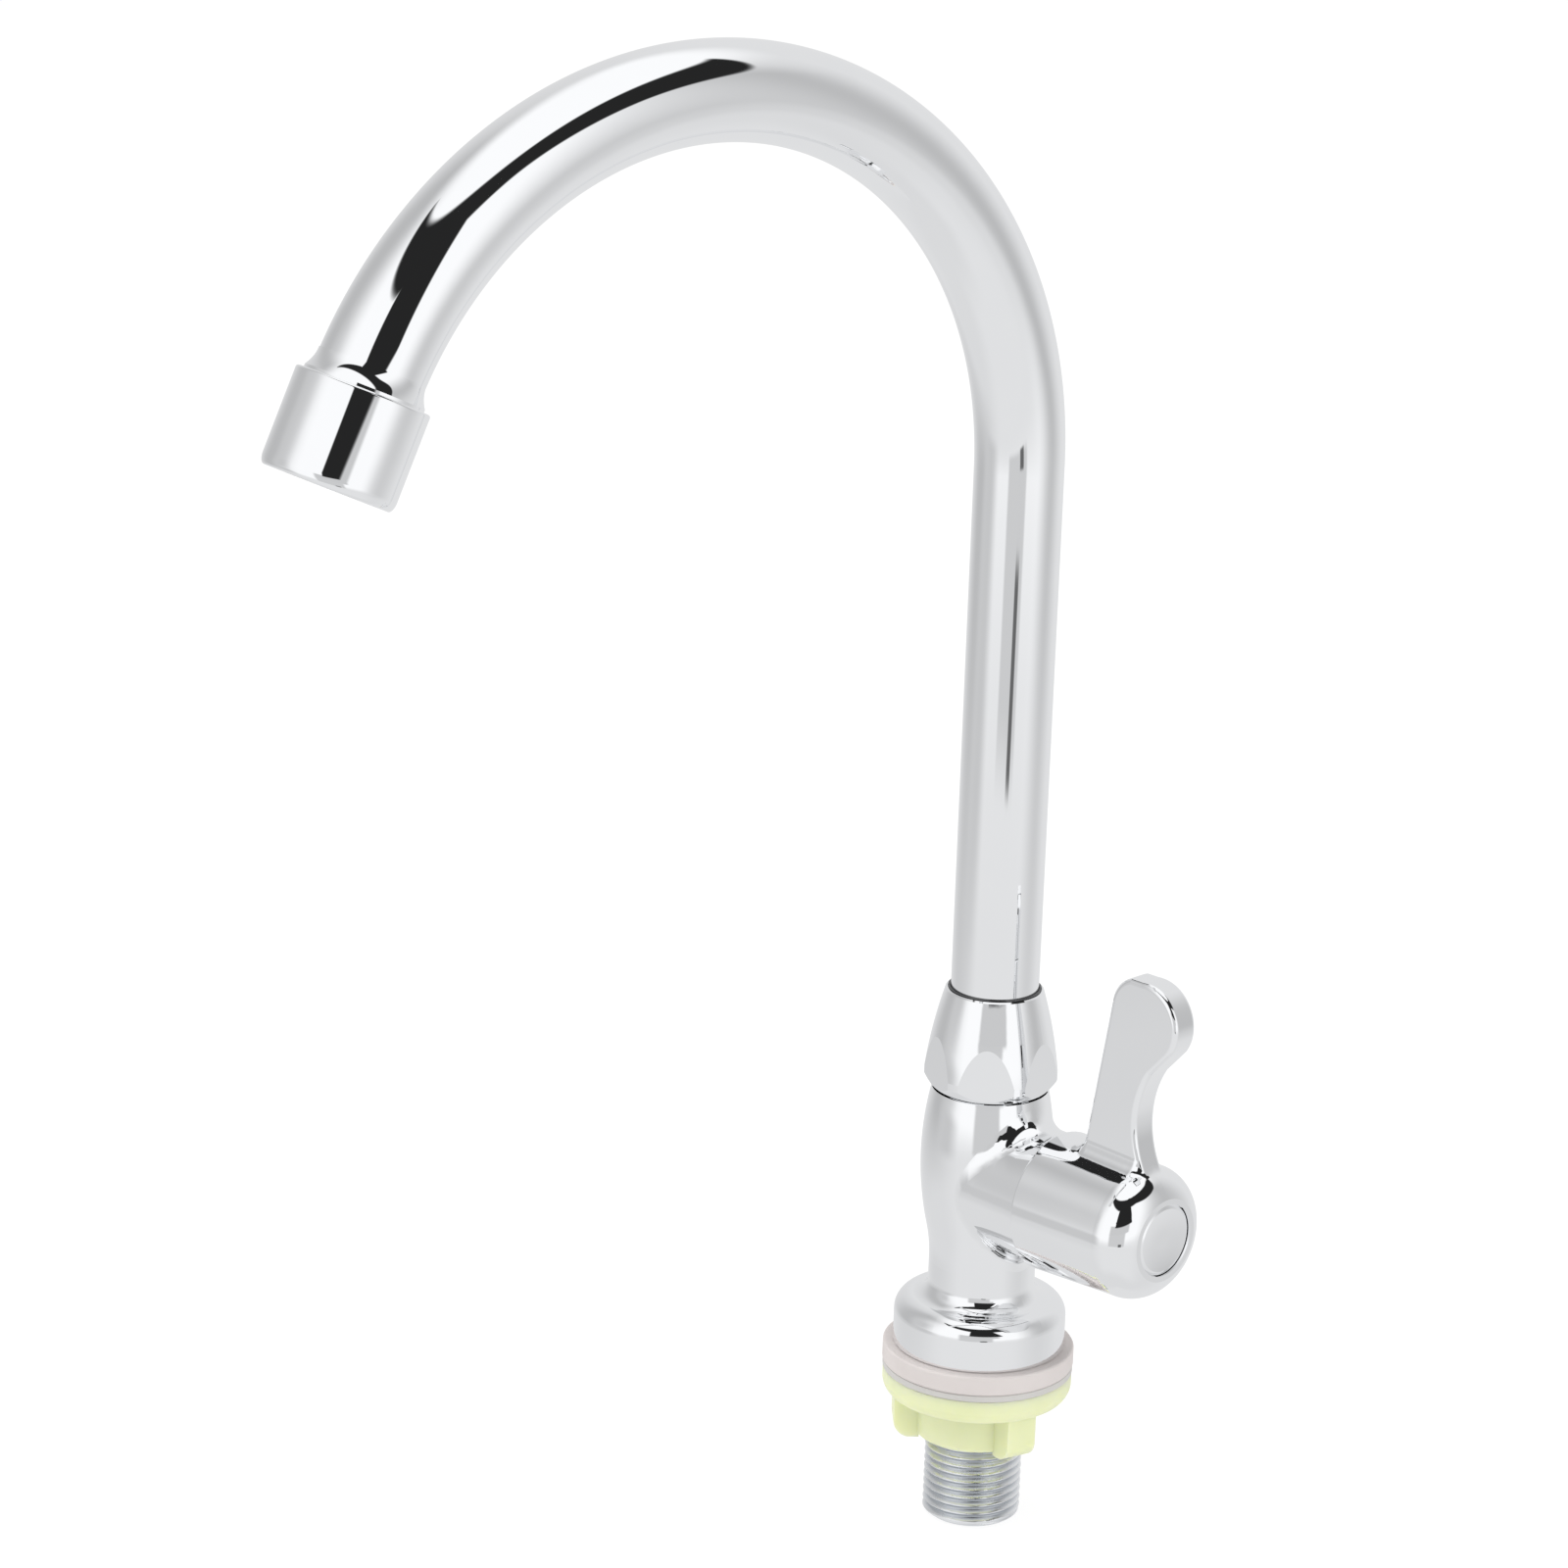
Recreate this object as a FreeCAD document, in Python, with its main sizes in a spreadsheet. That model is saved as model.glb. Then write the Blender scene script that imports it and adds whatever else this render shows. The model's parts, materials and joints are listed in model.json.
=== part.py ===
import FreeCAD, Part
import math
import os
import re

import Sketcher

# Kitchen tap with one lever at the side and a swan-neck spout that swivels.
# The frame: +Z up, the pillar's axis on Z, the deck at Z = 0, the lever's axis towards +X,
# and the spout towards -Y, turned a few degrees from it as it stands at rest.
# Every length is in millimetres and every angle in degrees.

SIZES = {
    # foot and pillar of the body, heights from the deck
    "foot_radius": 18.4,
    "foot_chamfer": 0.4,
    "foot_edge_height": 7.0,
    "foot_round": 4.0,
    "foot_fillet_height": 3.6,
    "foot_fillet_hollow": 0.9,
    "waist_radius": 11.4,
    "waist_height": 19.0,
    "hip_radius": 12.3,
    "hip_height": 27.0,
    "hip_hollow": 0.25,
    "chest_bulge": 1.75,
    "body_top_radius": 12.4,
    "body_height": 58.2,
    "neck_radius": 11.0,
    "neck_height": 11.8,
    # side branch that holds the valve
    "valve_axis_height": 38.45,
    "branch_root_radius": 13.2,
    "branch_end_radius": 14.2,
    "branch_reach": 20.2,
    "branch_fillet": 5.0,
    # water ways through the body
    "inlet_bore_radius": 3.8,
    "inlet_bore_offset": 5.0,
    "valve_port_radius": 3.6,
    "valve_seat_reach": 0.5,
    "valve_chamber_radius": 8.7,
    "valve_thread_radius": 9.3,
    "valve_thread_start": 12.6,
    "outlet_bore_radius": 3.6,
    "outlet_bore_offset": 5.6,
    "socket_floor_height": 51.0,
    # threaded tail
    "shank_radius": 10.4775,
    "shank_upper_radius": 10.85,
    "tail_end_length": 18.0,
    "shank_length": 39.5,
    "shank_chamfer": 1.0,
    "shank_bore_radius": 6.0,
    "spigot_radius": 9.0,
    "spigot_length": 10.9,
    "tail_socket_depth": 12.0,
    "tail_seal_thickness": 1.0,
    "tail_chamber_radius": 7.4,
    "tail_chamber_height": 3.0,
    # fixing washers and backnut
    "washer_bore_radius": 11.2,
    "rubber_washer_radius": 20.5,
    "rubber_washer_thickness": 4.3,
    "washer_edge_round": 0.5,
    "plastic_washer_radius": 20.4,
    "plastic_washer_thickness": 1.5,
    "backnut_radius": 20.3,
    "backnut_height": 15.5,
    "backnut_flange_thickness": 5.2,
    "backnut_flange_edge": 3.0,
    "backnut_bevel": 1.1,
    "backnut_hub_radius": 13.0,
    "backnut_hub_round": 0.8,
    "lug_drop": 0.5,
    "lug_radius": 17.8,
    "lug_width": 7.0,
    "lug_corner_width": 3.0,
    "lug_corner_height": 3.6,
    "lug_count": 3,
    "lug_azimuth": 106.7,
    # spout nut and what it holds
    "spout_nut_gap": 0.3,
    "spout_nut_height": 21.9,
    "spout_nut_foot_radius": 12.3,
    "spout_nut_radius": 14.1,
    "spout_nut_chamfer_height": 2.2,
    "spout_nut_belt_height": 1.6,
    "spout_nut_top_radius": 10.4,
    "spout_nut_lip": 0.3,
    "spout_nut_bulge": 0.4,
    "spout_nut_collar_radius": 9.9,
    "spout_nut_flat_distance": 12.8,
    "spout_nut_flat_count": 6,
    "spout_nut_azimuth": 8.0,
    "slip_ring_height": 3.2,
    "slip_ring_proud": 0.2,
    "friction_ring_thickness": 1.2,
    # spout base that turns in the body
    "base_radius": 9.6,
    "base_bore_radius": 6.2,
    "base_floor_gap": 1.0,
    "base_flange_radius": 10.85,
    "base_flange_thickness": 1.4,
    "base_lift": 0.2,
    "base_spigot_length": 6.0,
    "o_ring_groove_width": 2.2,
    "o_ring_groove_depth": 1.5,
    "lower_o_ring_height": 4.0,
    "upper_o_ring_height": 11.0,
    # swan-neck tube
    "tube_radius": 9.3,
    "tube_end_radius": 10.6,
    "tube_wall": 1.0,
    "bend_start_height": 193.1,
    "bend_radius": 84.7,
    "bend_angle": 155.0,
    "tube_tail": 5.0,
    "spout_yaw": 7.2,
    # outlet end of the spout, measured along the flow
    "fitting_cover": 4.4,
    "fitting_top_radius": 10.95,
    "fitting_cone_length": 4.0,
    "fitting_cone_hollow": 0.2,
    "fitting_thread_radius": 11.9,
    "fitting_length": 11.6,
    "fitting_lip_radius": 9.2,
    "outlet_gasket_thickness": 1.5,
    "outlet_gasket_bore_radius": 9.0,
    "insert_length": 6.4,
    "insert_flange_thickness": 1.4,
    "insert_body_radius": 10.9,
    "insert_wall": 1.3,
    "insert_hole_radius": 0.9,
    "insert_hole_circle": 5.6,
    "insert_hole_count": 12,
    "screen_thickness": 0.5,
    "screen_spacing": 1.4,
    "grille_height": 2.4,
    "grille_bar_width": 0.7,
    "grille_pitch": 2.9,
    "grille_bar_count": 7,
    "aerator_radius": 13.3,
    "aerator_length": 19.7,
    "aerator_top_gap": 0.2,
    "aerator_edge_round": 0.5,
    "aerator_bevel": 0.9,
    "aerator_thread_length": 8.3,
    "aerator_bore_radius": 11.6,
    "aerator_lip_radius": 9.9,
    "aerator_lip_thickness": 1.4,
    # ceramic valve, measured along the valve's axis from the pillar's axis
    "seat_seal_thickness": 2.4,
    "seat_seal_bore_radius": 4.0,
    "seat_seal_proud": 0.6,
    "cartridge_radius": 8.4,
    "cartridge_bore_radius": 7.05,
    "disc_radius": 6.9,
    "disc_thickness": 2.7,
    "disc_window_radius": 5.9,
    "disc_hub_radius": 1.4,
    "disc_gap": 0.02,
    "disc_window_angle": 86.0,
    "driver_thickness": 3.4,
    "cartridge_window_width": 8.0,
    "cartridge_window_start": 5.0,
    "cartridge_window_length": 4.6,
    "cartridge_ring_start": 10.2,
    "cartridge_ring_width": 1.8,
    "cartridge_ring_depth": 0.8,
    "cartridge_flange_radius": 10.9,
    "cartridge_flange_thickness": 1.6,
    "cartridge_hex_distance": 8.5,
    "cartridge_hex_corner_radius": 9.6,
    "cartridge_hex_length": 5.2,
    "cartridge_neck_radius": 7.2,
    "cartridge_neck_length": 4.4,
    "spindle_radius": 4.95,
    "spindle_ring_first": 16.0,
    "spindle_ring_second": 20.0,
    "spindle_ring_width": 1.7,
    "spindle_ring_depth": 1.25,
    "circlip_radius": 6.4,
    "circlip_thickness": 0.8,
    "circlip_depth": 0.8,
    "circlip_gap": 3.0,
    "spline_radius": 3.9,
    "spline_depth": 0.45,
    "spline_count": 20,
    "spindle_end_gap": 0.3,
    "screw_hole_depth": 11.0,
    # handle: a barrel on the valve's axis with a flat lever
    "handle_gap": 0.3,
    "barrel_rim_radius": 15.1,
    "barrel_radius": 14.45,
    "barrel_rim_round": 0.6,
    "barrel_end_reach": 50.4,
    "barrel_end_radius": 9.0,
    "barrel_dome_length": 7.8,
    "barrel_dome_bulge": 1.6,
    "barrel_cavity_radius": 12.3,
    "barrel_web_start": 34.2,
    "barrel_web_thickness": 9.6,
    "screw_pocket_radius": 6.3,
    "cap_seat_depth": 1.9,
    "cap_radius": 7.62,
    "cap_seat_radius": 7.78,
    "cap_thickness": 1.7,
    "cap_dish": 0.45,
    "cap_dish_flat": 1.5,
    "cap_edge_round": 0.4,
    "cap_skirt_radius": 6.15,
    "cap_skirt_wall": 1.0,
    "cap_skirt_length": 1.4,
    "lever_thickness": 6.4,
    "lever_edge_round": 1.1,
    "lever_foot_fillet": 4.0,
    "lever_foot_height": 46.0,
    "lever_heel_reach": 28.0,
    "lever_toe_reach": 48.0,
    "lever_toe_height": 49.5,
    "lever_throat_inset": 4.8,
    "lever_throat_height": 74.3,
    "lever_throat_hollow": 4.05,
    "lever_chin_reach": 51.1,
    "lever_chin_height": 79.6,
    "lever_head_bulge": 5.3,
    "lever_crown_inset": 8.5,
    "lever_top_height": 93.6,
    "lever_top_width": 2.9,
    "lever_brow_width": 4.75,
    "lever_brow_drop": 5.9,
    "lever_brow_bulge": 1.1,
    "screw_radius": 2.4,
    "screw_head_radius": 4.4,
    "screw_head_height": 2.6,
    "screw_length": 9.0,
    "screw_slot_width": 1.1,
    "screw_slot_depth": 1.5,
    # clearances
    "running_clearance": 0.08,
    "thread_clearance": 0.1,
    "seal_clearance": 0.04,
    "seat_clearance": 0.05,
}

# Sizes that follow from the ones above.
DERIVED = {
    "foot_top_height": "foot_edge_height + foot_round",
    "neck_top": "body_height + neck_height",
    "socket_radius": "base_radius + running_clearance",
    "backnut_top": "rubber_washer_thickness + plastic_washer_thickness",
    "spout_nut_bottom": "body_height + spout_nut_gap",
    "spout_nut_bore": "neck_radius + thread_clearance",
    "base_bottom": "socket_floor_height + base_floor_gap",
    "base_barrel_length": "neck_top + base_lift - base_bottom",
    "base_length": "base_barrel_length + base_flange_thickness",
    "tube_bottom": "base_bottom + base_length",
    "friction_ring_bottom": "tube_bottom + base_lift",
    "nut_shoulder": "friction_ring_bottom + friction_ring_thickness - spout_nut_bottom",
    "bend_end_reach": "bend_radius * (1 - cos(bend_angle))",
    "bend_end_height": "bend_start_height + bend_radius * sin(bend_angle)",
    "outlet_reach": "bend_end_reach - fitting_cover * sin(bend_angle)",
    "outlet_height": "bend_end_height - fitting_cover * cos(bend_angle)",
    "gasket_start": "fitting_length",
    "insert_start": "gasket_start + outlet_gasket_thickness",
    "aerator_start": "fitting_cover + aerator_top_gap",
    "aerator_end": "fitting_cover + aerator_length",
    "aerator_floor": "aerator_end - aerator_lip_thickness",
    "grille_start": "aerator_floor - grille_height",
    "cartridge_start": "valve_seat_reach + seat_seal_proud",
    "seal_end": "valve_seat_reach + seat_seal_thickness",
    "fixed_disc_start": "seal_end",
    "moving_disc_start": "fixed_disc_start + disc_thickness + disc_gap",
    "driver_start": "moving_disc_start + disc_thickness",
    "driver_end": "driver_start + driver_thickness",
    "shaft_bore_start": "driver_end + disc_gap",
    "cartridge_hex_start": "branch_reach + cartridge_flange_thickness",
    "cartridge_neck_start": "cartridge_hex_start + cartridge_hex_length",
    "cartridge_end": "cartridge_neck_start + cartridge_neck_length",
    "circlip_start": "cartridge_end + disc_gap",
    "circlip_end": "circlip_start + circlip_thickness",
    "barrel_start": "branch_reach + handle_gap",
    "spline_start": "barrel_web_start - seat_clearance",
    "spindle_end": "barrel_web_end - spindle_end_gap",
    "barrel_web_end": "barrel_web_start + barrel_web_thickness",
    "lever_throat_reach": "lever_chin_reach - lever_throat_inset",
    "lever_crown_reach": "lever_chin_reach - lever_crown_inset",
    "lever_brow_reach": "lever_crown_reach - lever_top_width",
    "lever_back_reach": "lever_brow_reach - lever_brow_width",
    "lever_back_height": "lever_top_height - lever_brow_drop",
    "cap_seat_start": "barrel_end_reach - cap_seat_depth",
    "spindle_bore_radius": "spindle_radius + running_clearance",
    "screw_hole_radius": "screw_radius + seat_clearance",
}

# A quarter turn bows out from its chord by this share of its radius.
QUARTER_BOW = "(1 - sqrt(0.5))"

doc = FreeCAD.newDocument("kitchen_tap")
sheet = doc.addObject("Spreadsheet::Sheet", "Sizes")
pieces = []


def fill_sheet():
    """Write each size's name and value on its own row, and name the value's cell."""
    for row, (name, number) in enumerate(SIZES.items(), start=1):
        sheet.set(f"A{row}", name)
        sheet.set(f"B{row}", str(number))
        sheet.setAlias(f"B{row}", name)
    doc.recompute()


def bound(text):
    """Turn words from the two lists of sizes into references to the sheet's cells."""

    def swap(match):
        word = match.group()
        if word in SIZES:
            return "Sizes." + word
        if word in DERIVED:
            return "(" + bound(DERIVED[word]) + ")"
        return word

    return re.sub(r"[A-Za-z_]+", swap, text)


def value(text):
    """The present number that a size or a sum of sizes stands for."""
    return float(sheet.evalExpression(bound(text)))


def bind(item, **sums):
    """Bind an object's properties to sums of sizes; two underscores stand for a dot."""
    for name, text in sums.items():
        item.setExpression(name.replace("__", "."), bound(text))


def new_body(name):
    """Start one rigid piece; its label names its file."""
    body = doc.addObject("PartDesign::Body", name)
    body.Label = name
    pieces.append(body)
    return body


def attach(item, body, role):
    """Lay a sketch or a primitive on one of its body's own origin planes."""
    planes = body.Origin.OriginFeatures
    item.AttachmentSupport = [(next(p for p in planes if p.Role == role), "")]
    item.MapMode = "FlatFace"


def new_sketch(body, name, role):
    sketch = body.newObject("Sketcher::SketchObject", name)
    attach(sketch, body, role)
    return sketch


def pin_point(sketch, edge, end, across, along):
    """Dimension one end of an edge from the sketch's origin."""
    for kind, text in (("DistanceX", across), ("DistanceY", along)):
        index = sketch.addConstraint(Sketcher.Constraint(kind, edge, end, value(text)))
        sketch.setExpression(f"Constraints[{index}]", bound(text))


def arc_between(start, end, bow):
    """The arc from start to end whose middle stands off the chord by bow, to its right."""
    half = (end - start).Length / 2
    radius = (half * half + bow * bow) / (2 * abs(bow))
    side = FreeCAD.Vector(end.y - start.y, start.x - end.x, 0).normalize()
    centre = (start + end) / 2 + side * (bow - math.copysign(radius, bow))
    first, last = (start, end) if bow > 0 else (end, start)
    angles = [math.atan2(p.y - centre.y, p.x - centre.x) for p in (first, last)]
    circle = Part.Circle(centre, FreeCAD.Vector(0, 0, 1), radius)
    return Part.ArcOfCircle(circle, angles[0], angles[1])


def outline(sketch, corners):
    """Draw a closed loop through corners (across, along).

    A third value bows the side after its corner outwards, on a loop that turns anticlockwise.
    """
    spots = [FreeCAD.Vector(value(c[0]), value(c[1]), 0) for c in corners]
    starts, ends = [], []
    for i, corner in enumerate(corners):
        start, end = spots[i], spots[(i + 1) % len(spots)]
        bow = value(corner[2]) if len(corner) > 2 else 0
        shape = arc_between(start, end, bow) if bow else Part.LineSegment(start, end)
        sketch.addGeometry(shape)
        starts.append(2 if bow < 0 else 1)
        ends.append(1 if bow < 0 else 2)
    for i in range(len(corners)):
        after = (i + 1) % len(corners)
        sketch.addConstraint(Sketcher.Constraint("Coincident", i, ends[i], after, starts[after]))
    for i, corner in enumerate(corners):
        pin_point(sketch, i, starts[i], corner[0], corner[1])
        if len(corner) > 2:
            bow_side(sketch, i, corner, corners[(i + 1) % len(corners)])


def bow_side(sketch, edge, corner, following):
    """Give an arc the radius that its chord and its bow ask for."""
    chord = f"(({following[0]}) - ({corner[0]}))^2 + (({following[1]}) - ({corner[1]}))^2"
    bow = f"abs({corner[2]})"
    radius = f"({chord}) / (8 * {bow}) + {bow} / 2"
    index = sketch.addConstraint(Sketcher.Constraint("Radius", edge, value(radius)))
    sketch.setExpression(f"Constraints[{index}]", bound(radius))


def circle(sketch, across, along, radius):
    """Draw a circle whose centre and radius follow the sizes."""
    centre = FreeCAD.Vector(value(across), value(along), 0)
    edge = sketch.addGeometry(Part.Circle(centre, FreeCAD.Vector(0, 0, 1), value(radius)))
    pin_point(sketch, edge, 3, across, along)
    index = sketch.addConstraint(Sketcher.Constraint("Radius", edge, value(radius)))
    sketch.setExpression(f"Constraints[{index}]", bound(radius))


def turn(body, name, corners, axis="V_Axis", kind="Revolution"):
    """Turn an outline about the sketch's own axis: V_Axis is Z and H_Axis is X."""
    sketch = new_sketch(body, name + "_outline", "XZ_Plane")
    outline(sketch, corners)
    feature = body.newObject("PartDesign::" + kind, name)
    feature.Profile = sketch
    feature.ReferenceAxis = (sketch, [axis])
    feature.Angle = 360
    return feature


def ring_corners(inner, outer, low, high):
    """The rectangular section of a plain ring."""
    return [(inner, low), (outer, low), (outer, high), (inner, high)]


def extrude(body, name, corners, thickness, kind="Pad", role="XZ_Plane"):
    """Push an outline out by the same amount on both sides of its plane."""
    sketch = new_sketch(body, name + "_outline", role)
    outline(sketch, corners)
    feature = body.newObject("PartDesign::" + kind, name)
    feature.Profile = sketch
    feature.SideType = "Symmetric"
    bind(feature, Length=thickness)
    return feature


def drill(body, name, radius, length, role="XY_Plane", across="0", along="0", start="0"):
    """Bore a round hole square to an origin plane, from start onwards."""
    hole = body.newObject("PartDesign::SubtractiveCylinder", name)
    attach(hole, body, role)
    bind(hole, Radius=radius, Height=length)
    bind(hole, AttachmentOffset__Base__x=across, AttachmentOffset__Base__y=along)
    bind(hole, AttachmentOffset__Base__z=start)
    return hole


def box(body, name, kind, low, size, role="XY_Plane"):
    """Add or cut a box with its low corner and size given along an origin plane's axes."""
    block = body.newObject("PartDesign::" + kind + "Box", name)
    attach(block, body, role)
    bind(block, Length=size[0], Width=size[1], Height=size[2])
    bind(block, AttachmentOffset__Base__x=low[0], AttachmentOffset__Base__y=low[1])
    bind(block, AttachmentOffset__Base__z=low[2])
    return block


def repeat_around(body, feature, name, count, role="Z_Axis"):
    """Repeat a feature evenly about one of the body's own axes."""
    axis = next(a for a in body.Origin.OriginFeatures if a.Role == role)
    pattern = body.newObject("PartDesign::PolarPattern", name)
    pattern.Originals = [feature]
    pattern.Axis = (axis, [""])
    pattern.Angle = 360
    bind(pattern, Occurrences=count)
    body.Tip = pattern
    return pattern


def repeat_along(body, feature, name, count, length, role):
    """Repeat a feature evenly along one of the body's own axes."""
    axis = next(a for a in body.Origin.OriginFeatures if a.Role == role)
    pattern = body.newObject("PartDesign::LinearPattern", name)
    pattern.Originals = [feature]
    pattern.Direction = (axis, [""])
    bind(pattern, Length=length, Occurrences=count)
    body.Tip = pattern
    return pattern


def round_edges(body, name, radius, wanted):
    """Fillet the edges of the body so far that the test picks."""
    doc.recompute()
    base = body.Tip
    names = [f"Edge{i}" for i, e in enumerate(base.Shape.Edges, start=1) if wanted(e)]
    fillet = body.newObject("PartDesign::Fillet", name)
    fillet.Base = (base, names)
    bind(fillet, Radius=radius)
    return fillet


def lift(item, height):
    bind(item, Placement__Base__z=height)


def turn_and_lift(item, azimuth, height):
    """Turn a piece about the pillar's axis and set it at its height."""
    angle = f"rotation(vector(0; 0; 1); {azimuth})"
    bind(item, Placement=f"placement(vector(0; 0; {height}); {angle})")


SPOUT_TURN = "placement(vector(0; 0; 0); rotation(vector(0; 0; 1); -90 - spout_yaw))"
OUTLET_TILT = (
    "placement(vector(outlet_reach; 0; outlet_height); rotation(vector(0; 1; 0); bend_angle))"
)


def place_at_outlet(item):
    """Set a piece made along the flow on the spout's outlet end."""
    bind(item, Placement=f"{SPOUT_TURN} * {OUTLET_TILT}")


def make_tap_body():
    """Foot, pillar and side branch in one casting, with its water ways."""
    body = new_body("tap_body")
    turn(body, "pillar", [
        ("0", "0"),
        ("foot_radius - foot_chamfer", "0"),
        ("foot_radius", "foot_chamfer"),
        ("foot_radius", "foot_edge_height", f"foot_round * {QUARTER_BOW}"),
        ("foot_radius - foot_round", "foot_top_height", "-foot_fillet_hollow"),
        ("waist_radius", "foot_top_height + foot_fillet_height"),
        ("waist_radius", "waist_height", "-hip_hollow"),
        ("hip_radius", "hip_height", "chest_bulge"),
        ("body_top_radius", "body_height"),
        ("neck_radius", "body_height"),
        ("neck_radius", "neck_top"),
        ("0", "neck_top"),
    ])
    branch = body.newObject("PartDesign::AdditiveCone", "branch")
    attach(branch, body, "YZ_Plane")
    bind(branch, Radius1="branch_root_radius", Radius2="branch_end_radius")
    bind(branch, Height="branch_reach", AttachmentOffset__Base__y="valve_axis_height")
    round_edges(body, "branch_root_fillet", "branch_fillet", is_freeform)
    drill(body, "tail_socket", "spigot_radius + seat_clearance", "tail_socket_depth")
    drill(body, "tail_chamber", "tail_chamber_radius", "tail_chamber_height",
          start="tail_socket_depth")
    drill(body, "inlet_way", "inlet_bore_radius",
          "valve_axis_height + inlet_bore_radius - tail_socket_depth",
          across="-inlet_bore_offset", start="tail_socket_depth")
    drill(body, "valve_port", "valve_port_radius", "valve_seat_reach + inlet_bore_offset",
          "YZ_Plane", along="valve_axis_height", start="-inlet_bore_offset")
    drill(body, "valve_chamber", "valve_chamber_radius", "branch_reach - valve_seat_reach",
          "YZ_Plane", along="valve_axis_height", start="valve_seat_reach")
    drill(body, "valve_thread", "valve_thread_radius", "branch_reach - valve_thread_start",
          "YZ_Plane", along="valve_axis_height", start="valve_thread_start")
    drill(body, "outlet_way", "outlet_bore_radius", "socket_floor_height - valve_axis_height",
          across="outlet_bore_offset", start="valve_axis_height")
    drill(body, "spout_socket", "socket_radius", "neck_top - socket_floor_height",
          start="socket_floor_height")


def is_freeform(edge):
    """True on the curve where the branch meets the pillar."""
    return edge.Curve.TypeId == "Part::GeomBSplineCurve"


def make_threaded_shank():
    """Tail with a half inch pipe thread outside, screwed up into the foot."""
    body = new_body("threaded_shank")
    turn(body, "tail", [
        ("shank_bore_radius", "0"),
        ("shank_radius - shank_chamfer", "0"),
        ("shank_radius", "shank_chamfer"),
        ("shank_radius", "tail_end_length"),
        ("shank_upper_radius", "tail_end_length + shank_upper_radius - shank_radius"),
        ("shank_upper_radius", "shank_length"),
        ("spigot_radius", "shank_length"),
        ("spigot_radius", "shank_length + spigot_length"),
        ("shank_bore_radius", "shank_length + spigot_length"),
    ])
    lift(body, "-shank_length")


def make_tail_seal():
    """Flat seal between the tail's spigot and the foot."""
    body = new_body("tail_seal")
    turn(body, "seal", ring_corners("shank_bore_radius + seat_clearance", "spigot_radius",
                                    "0", "tail_seal_thickness"))
    lift(body, "tail_socket_depth - tail_seal_thickness - seat_clearance")


def washer_corners(radius, thickness, edge):
    """A washer's section with its outer edges rounded."""
    bow = f"{edge} * {QUARTER_BOW}"
    return [
        ("washer_bore_radius", "0"),
        (f"{radius} - {edge}", "0", bow),
        (radius, edge),
        (radius, f"{thickness} - {edge}", bow),
        (f"{radius} - {edge}", thickness),
        ("washer_bore_radius", thickness),
    ]


def make_rubber_washer():
    """Thick soft washer that seals the foot to the deck."""
    body = new_body("rubber_washer")
    corners = washer_corners("rubber_washer_radius", "rubber_washer_thickness",
                             "washer_edge_round")
    turn(body, "washer", corners)
    lift(body, "-rubber_washer_thickness")


def make_plastic_washer():
    """Thin hard washer that the backnut turns against."""
    body = new_body("plastic_washer")
    corners = washer_corners("plastic_washer_radius", "plastic_washer_thickness",
                             "washer_edge_round / 2")
    turn(body, "washer", corners)
    lift(body, "-backnut_top")


def make_backnut():
    """Moulded nut with a wide flange and three finger lugs."""
    body = new_body("backnut")
    flange_bottom = "backnut_height - backnut_flange_thickness"
    turn(body, "hub", [
        ("shank_upper_radius + thread_clearance", "lug_drop"),
        ("backnut_hub_radius - backnut_hub_round", "lug_drop",
         f"backnut_hub_round * {QUARTER_BOW}"),
        ("backnut_hub_radius", "lug_drop + backnut_hub_round"),
        ("backnut_hub_radius", flange_bottom),
        ("backnut_radius - backnut_bevel", flange_bottom, "backnut_bevel / 5"),
        ("backnut_radius", "backnut_height - backnut_flange_edge"),
        ("backnut_radius", "backnut_height"),
        ("shank_upper_radius + thread_clearance", "backnut_height"),
    ])
    root = "backnut_hub_radius - backnut_hub_round"
    lug = extrude(body, "lug", [
        (root, "0"),
        ("lug_radius - lug_corner_width", "0", "lug_corner_width / 4"),
        ("lug_radius", "lug_corner_height"),
        ("lug_radius", f"{flange_bottom} + backnut_bevel"),
        (root, f"{flange_bottom} + backnut_bevel"),
    ], "lug_width")
    repeat_around(body, lug, "lugs", "lug_count")
    turn_and_lift(body, "lug_azimuth", "-backnut_top - backnut_height")


def make_spout_nut():
    """Tapered cover nut with six flats cut in its lower half."""
    body = new_body("spout_nut")
    belt = "spout_nut_chamfer_height + spout_nut_belt_height"
    turn(body, "cone", [
        ("spout_nut_bore", "0"),
        ("spout_nut_foot_radius", "0"),
        ("spout_nut_radius", "spout_nut_chamfer_height"),
        ("spout_nut_radius", belt, "spout_nut_bulge"),
        ("spout_nut_top_radius", "spout_nut_height - spout_nut_lip"),
        ("spout_nut_top_radius - spout_nut_lip", "spout_nut_height"),
        ("spout_nut_collar_radius", "spout_nut_height"),
        ("spout_nut_collar_radius", "nut_shoulder"),
        ("spout_nut_bore", "nut_shoulder"),
    ])
    flat = box(body, "flat", "Subtractive",
               ("spout_nut_flat_distance", "-spout_nut_radius", "0"),
               ("spout_nut_radius", "spout_nut_radius * 2", "spout_nut_height"))
    repeat_around(body, flat, "flats", "spout_nut_flat_count")
    turn_and_lift(body, "spout_nut_azimuth", "spout_nut_bottom")


def make_slip_ring():
    """Black ring in the nut's mouth that the tube turns in."""
    body = new_body("spout_slip_ring")
    turn(body, "ring", ring_corners("tube_radius + running_clearance",
                                    "spout_nut_collar_radius - seat_clearance",
                                    "0", "slip_ring_height"))
    lift(body, "spout_nut_bottom + spout_nut_height + slip_ring_proud - slip_ring_height")


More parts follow.
